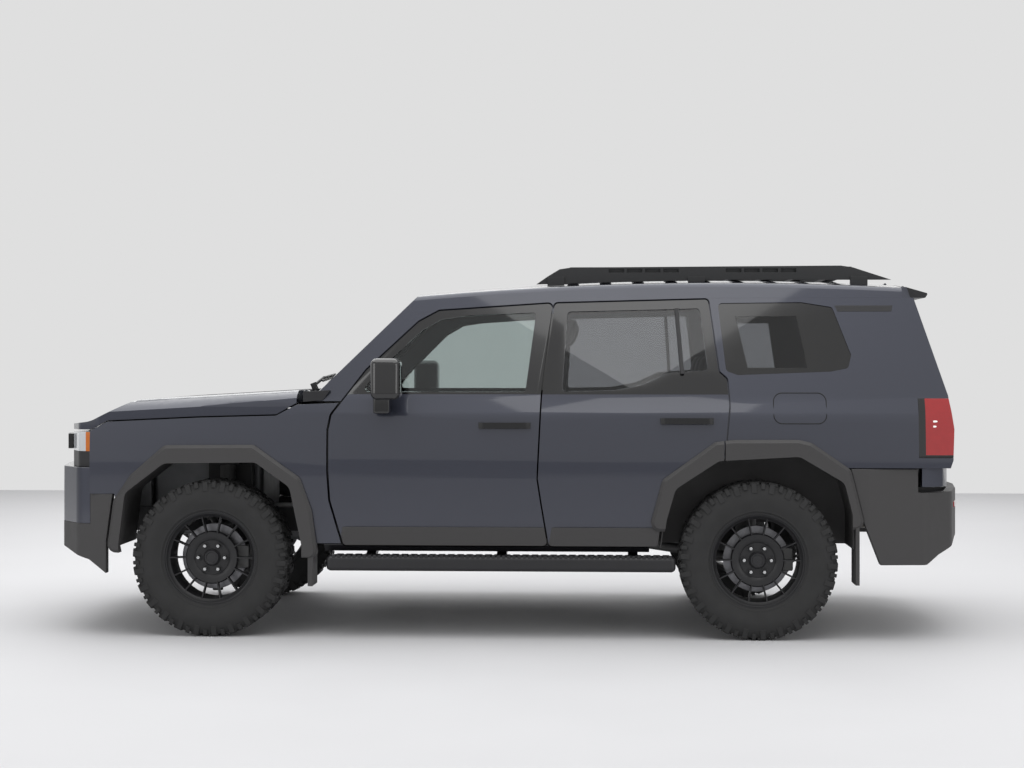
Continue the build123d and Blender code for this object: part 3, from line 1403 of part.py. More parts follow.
# Cabin: dashboard with steering wheel, front seats and rear bench
DRIVER_Y = 390.0
SEAT_X = fx(-1480)
BENCH_X = fx(-2330)
FLOOR_TOP = RAIL_TOP + FLOOR_THICKNESS
with BuildPart() as dashboard:
    half = BODY_HALF_WIDTH - 136
    outline = ((fx(-641), 840.0), (fx(-641), 1180.0), (fx(-760), 1190.0), (fx(-930), 1130.0), (fx(-900), 900.0))
    add(shaped(side_prism(outline, -half, half, radius=30), [LAYER["trim"]]))
    add(rod((fx(-880), DRIVER_Y, 1000), (fx(-1092), DRIVER_Y, 1078), 28))
    with BuildSketch(Plane(origin=(fx(-1080), DRIVER_Y, 1074), x_dir=(0, 1, 0), z_dir=(-0.94, 0, 0.34))) as hub_plate:
        Circle(62)
        Rectangle(360, 34)
    extrude(amount=18)
    with Locations(Plane(origin=(fx(-1088), DRIVER_Y, 1077), x_dir=(0, 1, 0), z_dir=(-0.94, 0, 0.34))):
        Torus(178, 15)
    add(block((fx(-1260), fx(-860)), (-120, 120), (FLOOR_TOP, 900), rounding=20))
write_node(dashboard, "dashboard")


def seat(x, y, half_width, foot):
    """Seat with base, cushion, leaning back and headrest."""
    base = block((x - 170, x + 170), (y - half_width + 60, y + half_width - 60), (foot, 870))
    cushion = block((x - 240, x + 250), (y - half_width, y + half_width), (830, 960), rounding=36)
    back_line = ((x - 300, 900.0), (x - 150, 900.0), (x - 270, 1500.0), (x - 380, 1500.0))
    back = side_prism(back_line, y - half_width + 10, y + half_width - 10, radius=34)
    rest_line = ((x - 345, 1480.0), (x - 335, 1530.0), (x - 365, 1680.0), (x - 445, 1680.0), (x - 400, 1480.0))
    rest = side_prism(rest_line, y - 130, y + 130, radius=12)
    return joined(base, cushion, back, rest)


with BuildPart() as front_seats:
    add(seat(SEAT_X, DRIVER_Y, 250, FLOOR_TOP))
    mirror(about=Plane.XZ)
write_node(front_seats, "front_seats")

with BuildPart() as rear_seats:
    for y in (-395, 0, 395):
        add(seat(BENCH_X, y, 230 if y else 190, FLOOR_TOP + RAIL_KICK))
write_node(rear_seats, "rear_seats")
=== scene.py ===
"""Looks of an off-road sport utility vehicle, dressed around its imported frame.

X runs forward, Y to the vehicle's left and Z up, in metres; the ground is at Z = 0.
"""

from __future__ import annotations

import json
import logging
import math
from collections.abc import Callable, Iterator, Sequence
from contextlib import contextmanager
from dataclasses import dataclass, field
from enum import Enum

import bpy
from mathutils import Matrix, Vector

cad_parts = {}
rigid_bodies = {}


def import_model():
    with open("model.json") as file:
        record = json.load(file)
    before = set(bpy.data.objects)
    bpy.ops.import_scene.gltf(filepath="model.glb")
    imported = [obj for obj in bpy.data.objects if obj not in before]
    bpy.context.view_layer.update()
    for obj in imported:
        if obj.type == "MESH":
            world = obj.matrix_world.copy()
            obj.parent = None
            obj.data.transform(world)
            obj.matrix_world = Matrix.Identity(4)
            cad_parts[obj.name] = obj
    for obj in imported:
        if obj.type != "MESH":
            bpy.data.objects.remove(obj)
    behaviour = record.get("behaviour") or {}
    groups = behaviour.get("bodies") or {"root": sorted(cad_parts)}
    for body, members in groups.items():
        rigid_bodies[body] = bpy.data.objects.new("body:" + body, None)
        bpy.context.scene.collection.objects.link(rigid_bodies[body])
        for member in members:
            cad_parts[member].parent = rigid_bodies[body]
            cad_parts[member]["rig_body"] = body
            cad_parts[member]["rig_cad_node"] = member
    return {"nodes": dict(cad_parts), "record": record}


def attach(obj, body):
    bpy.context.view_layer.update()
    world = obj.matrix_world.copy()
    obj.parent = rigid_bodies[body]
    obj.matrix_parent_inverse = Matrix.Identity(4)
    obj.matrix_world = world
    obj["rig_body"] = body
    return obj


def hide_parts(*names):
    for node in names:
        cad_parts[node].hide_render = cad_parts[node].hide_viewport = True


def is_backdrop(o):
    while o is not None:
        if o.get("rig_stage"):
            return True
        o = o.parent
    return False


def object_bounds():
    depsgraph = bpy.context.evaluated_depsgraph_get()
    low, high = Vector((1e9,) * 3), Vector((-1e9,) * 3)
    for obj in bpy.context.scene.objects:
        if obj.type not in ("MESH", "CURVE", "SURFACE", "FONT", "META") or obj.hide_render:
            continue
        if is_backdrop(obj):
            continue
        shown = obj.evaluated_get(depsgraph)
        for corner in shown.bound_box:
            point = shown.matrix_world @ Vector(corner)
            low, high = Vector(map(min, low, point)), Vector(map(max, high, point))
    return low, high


logging.basicConfig(level=logging.INFO, format="%(message)s")
log = logging.getLogger("vehicle")

MM = 0.001
AXLE_FRONT_X = 1.535
AXLE_REAR_X = -1.315
AXLE_Z = 0.408
WHEEL_Y = 0.832
# Beyond the vehicle's left side: trim starts there and is pushed in onto its panel.
OUTSIDE_Y = 1.1
HANDS = (("left", 1.0), ("right", -1.0))
# Edges flatter than this, in degrees, are shaded smooth.
SMOOTH_ANGLE = 50
TURNED_ANGLE = 40
# Share by which a finish's roughness wanders, and the part of the noise's range that it wanders over.
WANDER = 0.08
NOISE_RANGE = (0.3, 0.7)
COAT_ROUGHNESS = 0.04

Point = tuple[float, float, float]
Flat = tuple[float, float]
Outline = Sequence[Flat]
Piece = bpy.types.Object


def linear(hex_code: str, alpha: float = 1.0) -> tuple[float, float, float, float]:
    """Turn an sRGB hex colour into linear values.

    Args:
        hex_code: Six hex digits with a leading hash.
        alpha: Opacity to carry along.

    Returns:
        Red, green, blue and alpha in linear light.
    """
    parts = [int(hex_code[i : i + 2], 16) / 255 for i in (1, 3, 5)]
    red, green, blue = (c / 12.92 if c <= 0.04045 else ((c + 0.055) / 1.055) ** 2.4 for c in parts)
    return red, green, blue, alpha


def add_node(
    tree: bpy.types.NodeTree, kind: str, inputs: dict[str | int, object] | None = None, **settings: object
) -> bpy.types.Node:
    """Add a node with its settings, values and links.

    Args:
        tree: Node tree that gets the node.
        kind: Blender's name of the node type.
        inputs: Value or output socket for each named or numbered input.
        settings: Properties of the node itself.

    Returns:
        The new node.
    """
    node = tree.nodes.new(kind)
    for name, value in settings.items():
        setattr(node, name, value)
    for name, value in (inputs or {}).items():
        if isinstance(value, bpy.types.NodeSocket):
            tree.links.new(value, node.inputs[name])
        else:
            node.inputs[name].default_value = value
    return node


@dataclass(frozen=True)
class Finish:
    """A surface: colour, gloss, colour drift and grain.

    Attributes:
        name: Common name of the real material.
        colour: Main colour as sRGB hex.
        drift: Second colour that the main one wanders towards.
        drift_mm: Size of the wandering patches.
        roughness: Base roughness; it wanders a little with the drift.
        metallic: Share of metal.
        grain_mm: Size of the surface grain, zero for none.
        grain_depth: Height of the grain in the bump.
        coat: Weight of a clear coat.
        transmission: Share of light that passes through.
        ior: Index of refraction.
        glow: Strength of emitted light.
    """

    name: str
    colour: str
    drift: str
    drift_mm: float = 120.0
    roughness: float = 0.5
    metallic: float = 0.0
    grain_mm: float = 0.0
    grain_depth: float = 0.0
    coat: float = 0.0
    transmission: float = 0.0
    ior: float = 1.5
    glow: float = 0.0

    def material(self) -> bpy.types.Material:
        """Make the material once and hand it out after that.

        Returns:
            The finished material.
        """
        found = bpy.data.materials.get(self.name)
        if found:
            return found
        made = bpy.data.materials.new(self.name)
        made.use_nodes = True
        tree = made.node_tree
        shader = tree.nodes["Principled BSDF"]
        place = add_node(tree, "ShaderNodeTexCoord").outputs["Object"]
        patches = add_node(
            tree, "ShaderNodeTexNoise", {"Vector": place, "Scale": 1 / (self.drift_mm * MM), "Detail": 3.0}
        )
        mix = add_node(
            tree,
            "ShaderNodeMix",
            {0: patches.outputs["Fac"], 6: linear(self.colour), 7: linear(self.drift)},
            data_type="RGBA",
        )
        tree.links.new(mix.outputs[2], shader.inputs["Base Color"])
        gloss = add_node(
            tree,
            "ShaderNodeMapRange",
            {
                "Value": patches.outputs["Fac"],
                "From Min": NOISE_RANGE[0],
                "From Max": NOISE_RANGE[1],
                "To Min": self.roughness * (1 - WANDER),
                "To Max": min(1.0, self.roughness * (1 + WANDER)),
            },
        )
        tree.links.new(gloss.outputs["Result"], shader.inputs["Roughness"])
        shader.inputs["Metallic"].default_value = self.metallic
        shader.inputs["Coat Weight"].default_value = self.coat
        shader.inputs["Coat Roughness"].default_value = COAT_ROUGHNESS
        shader.inputs["Transmission Weight"].default_value = self.transmission
        shader.inputs["IOR"].default_value = self.ior
        if self.glow:
            shader.inputs["Emission Color"].default_value = linear(self.colour)
            shader.inputs["Emission Strength"].default_value = self.glow
        if self.grain_mm:
            scale = 1 / (self.grain_mm * MM)
            grain = add_node(tree, "ShaderNodeTexNoise", {"Vector": place, "Scale": scale, "Detail": 2.0})
            bump = add_node(
                tree,
                "ShaderNodeBump",
                {"Height": grain.outputs["Fac"], "Strength": self.grain_depth, "Distance": 1 * MM},
            )
            tree.links.new(bump.outputs["Normal"], shader.inputs["Normal"])
        return made


class Finishes(Enum):
    """Every finish on the vehicle.

    Real moulding grain, orange peel, casting sand and leather pores are 0.1 to 1 mm across. That is too fine
    to show in the render, so each grain is drawn a few times coarser than real.
    """

    # Metal flake under clear coat: deep blue grey that turns pale where it faces the light.
    PAINT = Finish("metallic_car_paint", "#323542", "#2e313d", 400, 0.34, 0.5, coat=1.0)
    # Moulded with a coarse grain: flat dark grey with a broad, dull sheen.
    CLADDING = Finish("moulded_polypropylene", "#383738", "#3e3d3d", 60, 0.62, grain_mm=2.4, grain_depth=0.25)
    # Polished mould: near black with clear reflections.
    BLACK_GLOSS = Finish("piano_black_ABS", "#0d0d0f", "#121214", 90, 0.12, coat=0.6)
    # Fine-grained mould: black with soft highlights.
    BLACK_SATIN = Finish("satin_black_ABS", "#17171a", "#1d1d20", 60, 0.42, grain_mm=1.6, grain_depth=0.08)
    # Baked powder: even black with a slight orange peel.
    RACK = Finish("powder_coated_aluminium", "#1c1d1f", "#232426", 45, 0.55, grain_mm=1.8, grain_depth=0.2)
    # Two clear panes round a film: faint green, sharp reflections.
    GLASS_CLEAR = Finish("laminated_glass", "#ced6d5", "#c9d2d0", 300, 0.015, transmission=1.0, ior=1.45)
    # Glass dyed in the melt: the cabin shows grey behind it.
    GLASS_DARK = Finish("privacy_glass", "#a6a8ab", "#a1a3a6", 300, 0.015, transmission=1.0, ior=1.45)
    # Print burnt into the pane's border: black and as smooth as the glass.
    FRIT = Finish("ceramic_frit", "#0b0b0c", "#101011", 80, 0.1, coat=0.5)
    # Vulcanised rubber: matt charcoal without highlights.
    TYRE = Finish("tyre_rubber", "#232324", "#2b2b2b", 70, 0.8, grain_mm=3.0, grain_depth=0.2)
    # Sprayed lacquer on a cast wheel: black with a silky sheen on each spoke.
    RIM = Finish(
        "satin_black_wheel_lacquer", "#1b1b1d", "#222224", 50, 0.45, 0.2, grain_mm=1.5, grain_depth=0.05
    )
    # Plated and polished: bright points on the dark wheel.
    NUT = Finish("chromed_steel", "#c9cacb", "#bfc0c1", 20, 0.14, 1.0)
    # Faced on a lathe and worn by the pads: grey metal behind the spokes.
    DISC = Finish("turned_cast_iron", "#77777a", "#68686b", 14, 0.35, 1.0)
    # Sand casting: rough dark metal.
    CAST = Finish("cast_steel", "#4a4a4b", "#3f3f40", 30, 0.55, 0.8, grain_mm=4.0, grain_depth=0.3)
    # Brushed-on wax: uneven black film.
    FRAME = Finish("black_chassis_wax", "#18181a", "#202022", 90, 0.5, grain_mm=5.0, grain_depth=0.2)
    # Cast in a die: pale grey metal with a dull skin.
    ALLOY = Finish("cast_aluminium", "#8b8c8e", "#7e7f81", 60, 0.5, 0.9, grain_mm=3.0, grain_depth=0.25)
    # Hot-dipped tube: warm grey metal that discolours in patches.
    PIPE = Finish("aluminised_steel", "#8a8680", "#77736c", 80, 0.38, 1.0)
    # Coated cloth with embossed pores: soft sheen on the crown of each pad.
    LEATHER = Finish("seat_leatherette", "#2b2b2e", "#323236", 45, 0.55, grain_mm=3.2, grain_depth=0.25)
    # Slush-moulded skin: dark and almost without reflections.
    CABIN = Finish("soft_touch_plastic", "#2a2b2d", "#303134", 60, 0.65, grain_mm=2.2, grain_depth=0.2)
    # Hard-coated cover over pale optics: bright, glossy white.
    LENS = Finish("clear_polycarbonate", "#eef1f4", "#e6eaee", 60, 0.06, transmission=0.25, ior=1.5, coat=0.8)
    # Dyed through: saturated red under a gloss.
    LENS_RED = Finish("red_acrylic", "#a81c20", "#951519", 40, 0.1, coat=0.8)
    # Dyed through: saturated amber under a gloss.
    LENS_AMBER = Finish("amber_acrylic", "#d9761a", "#c96812", 30, 0.12, coat=0.8)
    # Milky light guide: an even, faintly lit white.
    LED = Finish("led_diffuser", "#f4f4f0", "#efefe9", 30, 0.25, glow=0.35)
    # Silver behind glass: a clean mirror.
    SILVER = Finish("silvered_mirror_glass", "#c4c9cc", "#bfc4c8", 90, 0.03, 1.0)
    # Unlit gap between panels: a dead black line.
    SEAM = Finish("shadow_gap", "#0a0a0b", "#0e0e0f", 30, 0.8)


@dataclass
class Frame:
    """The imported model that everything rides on."""

    nodes: dict[str, Piece] = field(default_factory=dict)
    node_body: dict[str, str] = field(default_factory=dict)
    cad_box: tuple[Vector, Vector] | None = None

    def load(self) -> None:
        """Load the nodes and note their bodies and the overall box."""
        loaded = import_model()
        self.nodes = loaded["nodes"]
        for body, members in loaded["record"]["behaviour"]["bodies"].items():
            for node in members:
                self.node_body[node] = body
        self.cad_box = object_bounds()

    def save_sizes(self) -> None:
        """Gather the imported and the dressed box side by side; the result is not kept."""
        boxes = {"cad": self.cad_box, "visual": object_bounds()}
        {name: [list(low), list(high)] for name, (low, high) in boxes.items()}


FRAME = Frame()


def deselect() -> None:
    """Leave nothing selected."""
    if bpy.context.object and bpy.context.object.mode != "OBJECT":
        bpy.ops.object.mode_set(mode="OBJECT")
    bpy.ops.object.select_all(action="DESELECT")


def pick(piece: Piece) -> None:
    """Make one object the only selected and active one.

    Args:
        piece: The object.
    """
    deselect()
    piece.select_set(True)
    bpy.context.view_layer.objects.active = piece


@contextmanager
def editing(
    piece: Piece, faces: Callable[[bpy.types.MeshPolygon], bool] | None = None
) -> Iterator[None]:
    """Work on a piece in edit mode with some of its faces selected.

    Args:
        piece: Mesh object to work on.
        faces: Test that picks faces by place or normal; all faces without it.
    """
    pick(piece)
    mesh = piece.data
    for group in (mesh.vertices, mesh.edges, mesh.polygons):
        group.foreach_set("select", [False] * len(group))
    mesh.polygons.foreach_set("select", [faces is None or bool(faces(f)) for f in mesh.polygons])
    bpy.ops.object.mode_set(mode="EDIT")
    bpy.ops.mesh.select_mode(type="FACE")
    if faces is None:
        bpy.ops.mesh.select_all(action="SELECT")
    try:
        yield
    finally:
        bpy.ops.object.mode_set(mode="OBJECT")


def modify(piece: Piece, kind: str, **settings: object) -> None:
    """Add a modifier with its settings and apply it at once.

    Args:
        piece: Mesh object that it works on.
        kind: Blender's name of the modifier type.
        settings: Properties of the modifier.
    """
    pick(piece)
    modifier = piece.modifiers.new(kind.lower(), kind)
    for name, value in settings.items():
        setattr(modifier, name, value)
    bpy.ops.object.modifier_apply(modifier=modifier.name)


def settle(piece: Piece, name: str) -> Piece:
    """Name a piece and move its place into its mesh.

    Args:
        piece: Newly added object.
        name: Name for the object and its mesh.

    Returns:
        The same piece.
    """
    pick(piece)
    bpy.ops.object.transform_apply(location=True, rotation=True, scale=True)
    piece.name = name
    piece.data.name = name
    return piece


def add_block(name: str, low: Point, high: Point) -> Piece:
    """Add a box between two corners, as a start for shaping.

    Args:
        name: Name of the piece.
        low: Corner with the lowest X, Y and Z.
        high: Corner with the highest X, Y and Z.

    Returns:
        The box, with its place in its mesh.
    """
    deselect()
    centre = [(a + b) / 2 for a, b in zip(low, high)]
    bpy.ops.mesh.primitive_cube_add(size=1.0, location=centre)
    piece = bpy.context.object
    piece.scale = [b - a for a, b in zip(low, high)]
    return settle(piece, name)


def add_bar(name: str, start: Point, end: Point, radius: float, sides: int = 16) -> Piece:
    """Add a round bar between two points, as a start for shaping.

    Args:
        name: Name of the piece.
        start: Middle of one end.
        end: Middle of the other end.
        radius: Radius of the bar.
        sides: Number of facets round it.

    Returns:
        The bar, with its place in its mesh.
    """
    deselect()
    run = Vector(end) - Vector(start)
    bpy.ops.mesh.primitive_cylinder_add(
        vertices=sides, radius=radius, depth=run.length, location=(Vector(start) + Vector(end)) / 2
    )
    piece = bpy.context.object
    piece.rotation_euler = run.to_track_quat("Z", "Y").to_euler()
    return settle(piece, name)


def soften(piece: Piece, width: float, segments: int = 2, angle: float = 30.0) -> None:
    """Round the sharp edges of a piece and smooth its shading.

    Args:
        piece: The piece.
        width: Width of the rounding.
        segments: Number of facets across it.
        angle: Angle in degrees from which an edge counts as sharp.
    """
    modify(
        piece, "BEVEL", width=width, segments=segments, limit_method="ANGLE", angle_limit=math.radians(angle),
        use_clamp_overlap=True, harden_normals=False,
    )
    pick(piece)
    bpy.ops.object.shade_smooth_by_angle(angle=math.radians(SMOOTH_ANGLE))
    modify(piece, "WEIGHTED_NORMAL", mode="FACE_AREA", weight=100, keep_sharp=True)


def merge(name: str, pieces: list[Piece]) -> Piece:
    """Join several pieces into one object.

    Args:
        name: Name of the joined piece.
        pieces: The pieces; the first one takes in the others.

    Returns:
        The joined piece.
    """
    deselect()
    for piece in pieces:
        piece.select_set(True)
    bpy.context.view_layer.objects.active = pieces[0]
    if len(pieces) > 1:
        bpy.ops.object.join()
    pieces[0].name = name
    pieces[0].data.name = name
    return pieces[0]


def on_side(span: Flat, side: float) -> Flat:
    """Mirror a range of Y for the right side."""
    return span if side > 0 else (-span[1], -span[0])


def twin_of(piece: Piece, move: Matrix, name: str | None = None) -> Piece:
    """Copy a piece with its own mesh, moved by a matrix.

    Args:
        piece: Piece to copy.
        move: Matrix that places the copy.
        name: Name of the copy, if it needs one.

    Returns:
        The copy.
    """
    twin = piece.copy()
    twin.data = piece.data.copy()
    twin.data.transform(move)
    bpy.context.scene.collection.objects.link(twin)
    if name:
        twin.name = name
        twin.data.name = name
    return twin


def across(piece: Piece) -> Piece:
    """Copy a piece to the other side of the vehicle, with its own mesh.

    Args:
        piece: Piece on one side.

    Returns:
        Its mirror image, with its faces outwards.
    """
    twin = twin_of(piece, Matrix.Diagonal((1.0, -1.0, 1.0, 1.0)))
    with editing(twin):
        bpy.ops.mesh.normals_make_consistent(inside=False)
    return twin


def add_plate(
    name: str, outline: Outline, low: float, high: float, axis: str = "Y", corner: float = 0.0
) -> Piece:
    """Extrude a flat outline into a plate.

    Args:
        name: Name of the piece.
        outline: Corners in the two remaining axes, in alphabetical order.
        low: Where the plate starts along the axis.
        high: Where it ends.
        axis: Axis of the plate's thickness.
        corner: Radius of the outline's corners.

    Returns:
        The plate, with its faces outwards.
    """
    deselect()
    bpy.ops.mesh.primitive_circle_add(vertices=len(outline), fill_type="NGON")
    piece = bpy.context.object
    piece.name = name
    spot = "XYZ".index(axis)
    for vertex, (first, second) in zip(piece.data.vertices, outline):
        place = [first, second]
        place.insert(spot, low)
        vertex.co = place
    run = [0.0, 0.0, 0.0]
    run[spot] = high - low
    with editing(piece):
        if corner:
            bpy.ops.mesh.bevel(offset=corner, segments=4, affect="VERTICES")
        bpy.ops.mesh.select_all(action="SELECT")
        bpy.ops.mesh.extrude_region_move(TRANSFORM_OT_translate={"value": run})
        bpy.ops.mesh.select_all(action="SELECT")
        bpy.ops.mesh.normals_make_consistent(inside=False)
    return piece


def add_turned(name: str, section: Outline, centre: Point, steps: int) -> Piece:
    """Spin a closed section round a wheel's axis.

    Args:
        name: Name of the piece.
        section: Distance along the axle and radius of each corner.
        centre: Point on the axis that the distances count from.
        steps: Number of facets round the axis.

    Returns:
        The turned piece, with its seam closed.
    """
    deselect()
    bpy.ops.mesh.primitive_circle_add(vertices=len(section), fill_type="NOTHING")
    piece = bpy.context.object
    piece.name = name
    for vertex, (along, radius) in zip(piece.data.vertices, section):
        vertex.co = (centre[0], centre[1] + along, centre[2] + radius)
    pick(piece)
    bpy.ops.object.mode_set(mode="EDIT")
    bpy.ops.mesh.select_mode(type="VERT")
    bpy.ops.mesh.select_all(action="SELECT")
    bpy.ops.mesh.spin(steps=steps, angle=2 * math.pi, center=centre, axis=(0, 1, 0))
    bpy.ops.mesh.select_all(action="SELECT")
    bpy.ops.mesh.remove_doubles(threshold=0.05 * MM)
    bpy.ops.mesh.normals_make_consistent(inside=False)
    bpy.ops.object.mode_set(mode="OBJECT")
    bpy.ops.object.shade_smooth_by_angle(angle=math.radians(TURNED_ANGLE))
    return piece


def ring_of(piece: Piece, count: int, centre: Point, start: float = 0.0) -> list[Piece]:
    """Repeat a piece round an axis along Y.

    Args:
        piece: The piece; its copies take its place.
        count: Number of copies.
        centre: Point on the axis.
        start: Angle of the first copy, in degrees.

    Returns:
        The copies.
    """
    middle = Matrix.Translation(centre)
    turns = [Matrix.Rotation(math.radians(start + 360 * i / count), 4, "Y") for i in range(count)]
    copies = [twin_of(piece, middle @ turn @ middle.inverted()) for turn in turns]
    bpy.data.objects.remove(piece)
    return copies


def row_of(piece: Piece, count: int, step: float) -> None:
    """Repeat a piece in a row along X with an array.

    Args:
        piece: First piece of the row.
        count: Number of pieces in the row.
        step: Distance from each to the next.
    """
    modify(
        piece, "ARRAY", count=count, use_relative_offset=False, use_constant_offset=True,
        constant_offset_displace=(step, 0, 0),
    )


def lay_on(piece: Piece, target: Piece, lift: float) -> None:
    """Push a piece in from the vehicle's left until it lies on a panel.

    Args:
        piece: Flat piece outside the panel.
        target: The panel.
        lift: Gap left over the panel.
    """
    modify(
        piece, "SHRINKWRAP", target=target, wrap_method="PROJECT", use_project_y=True,
        use_negative_direction=True, use_positive_direction=False, offset=lift,
    )


def add_seam(name: str, outline: Outline, target: Piece, radius: float) -> Piece:
    """Lay a thin round line on a panel.

    Args:
        name: Name of the piece.
        outline: X and Z of the closed line's points.
        target: Panel that it lies on.
        radius: Radius of the line.

    Returns:
        The line as a mesh.
    """
    deselect()
    bpy.ops.mesh.primitive_circle_add(vertices=len(outline), fill_type="NOTHING")
    piece = bpy.context.object
    piece.name = name
    for vertex, (x, z) in zip(piece.data.vertices, outline):
        vertex.co = (x, OUTSIDE_Y, z)
    lay_on(piece, target, 0.2 * MM)
    pick(piece)
    bpy.ops.object.convert(target="CURVE")
    piece = bpy.context.object
    piece.data.bevel_depth = radius
    piece.data.bevel_resolution = 2
    bpy.ops.object.convert(target="MESH")
    bpy.ops.object.shade_smooth()
    return bpy.context.object


def rounded_loop(low: Flat, high: Flat, corner: float, count: int = 32) -> list[Flat]:
    """Work out points round a rectangle with round corners.

    Args:
        low: Lowest X and Z.
        high: Highest X and Z.
        corner: Radius of the corners.
        count: Number of points.

    Returns:
        X and Z of each point.
    """
    points = []
    for i in range(count):
        angle = 2 * math.pi * (i + 0.5) / count
        x_side, z_side = math.cos(angle) > 0, math.sin(angle) > 0
        middle_x = high[0] - corner if x_side else low[0] + corner
        middle_z = high[1] - corner if z_side else low[1] + corner
        points.append((middle_x + corner * math.cos(angle), middle_z + corner * math.sin(angle)))
    return points


def skin_patch(name: str, corners: Outline, target: Piece, thickness: float) -> Piece:
    """Lay a thin four-cornered trim on a panel.

    Args:
        name: Name of the piece.
        corners: X and Z of the corners: rear low, front low, front high, rear high.
        target: Panel that it lies on.
        thickness: How far it stands off the panel.

    Returns:
        The trim, closed and with round edges.
    """
    deselect()
    bpy.ops.mesh.primitive_grid_add(x_subdivisions=14, y_subdivisions=4, size=2.0)
    piece = bpy.context.object
    piece.name = name
    for vertex in piece.data.vertices:
        u, v = (vertex.co.x + 1) / 2, (vertex.co.y + 1) / 2
        weights = ((1 - u) * (1 - v), u * (1 - v), u * v, (1 - u) * v)
        x, z = (sum(w * c[i] for w, c in zip(weights, corners)) for i in range(2))
        vertex.co = (x, OUTSIDE_Y, z)
    lay_on(piece, target, 0.0)
    with editing(piece):
        bpy.ops.mesh.normals_make_consistent(inside=False)
    modify(piece, "SOLIDIFY", thickness=2 * thickness, offset=0.0)
    with editing(piece):
        bpy.ops.mesh.normals_make_consistent(inside=False)
    soften(piece, thickness * 0.4, 2)
    return piece


def paint(piece: Piece, finish: Finishes) -> None:
    """Give a whole piece one finish."""
    piece.data.materials.clear()
    piece.data.materials.append(finish.value.material())


def mount(piece: Piece, node: str, slot: str, finish: Finishes | None = None) -> Piece:
    """Put a finished piece on the body of a node.

    Args:
        piece: The piece, with its place in its mesh.
        node: Node whose body it moves with.
        slot: Material slot of the record; not used.
        finish: Finish for the whole piece, if it hasn't got one yet.

    Returns:
        The same piece.
    """
    if finish:
        paint(piece, finish)
    body = FRAME.node_body[node]
    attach(piece, body)
    log.info("%s rides on %s with %d faces", piece.name, body, len(piece.data.polygons))
    return piece


def mount_pair(left: Piece, name: str, node: str, slot: str, finish: Finishes) -> None:
    """Put a left-hand piece and its mirror image on the body of a node.

    Args:
        left: The left-hand piece.
        name: Name that both get, with their hand after it.
        node: Node whose body they ride on.
        slot: Material slot of the record.
        finish: Finish of both.
    """
    for hand, piece in (("left", left), ("right", across(left))):
        piece.name = f"{name}_{hand}"
        mount(piece, node, slot, finish)


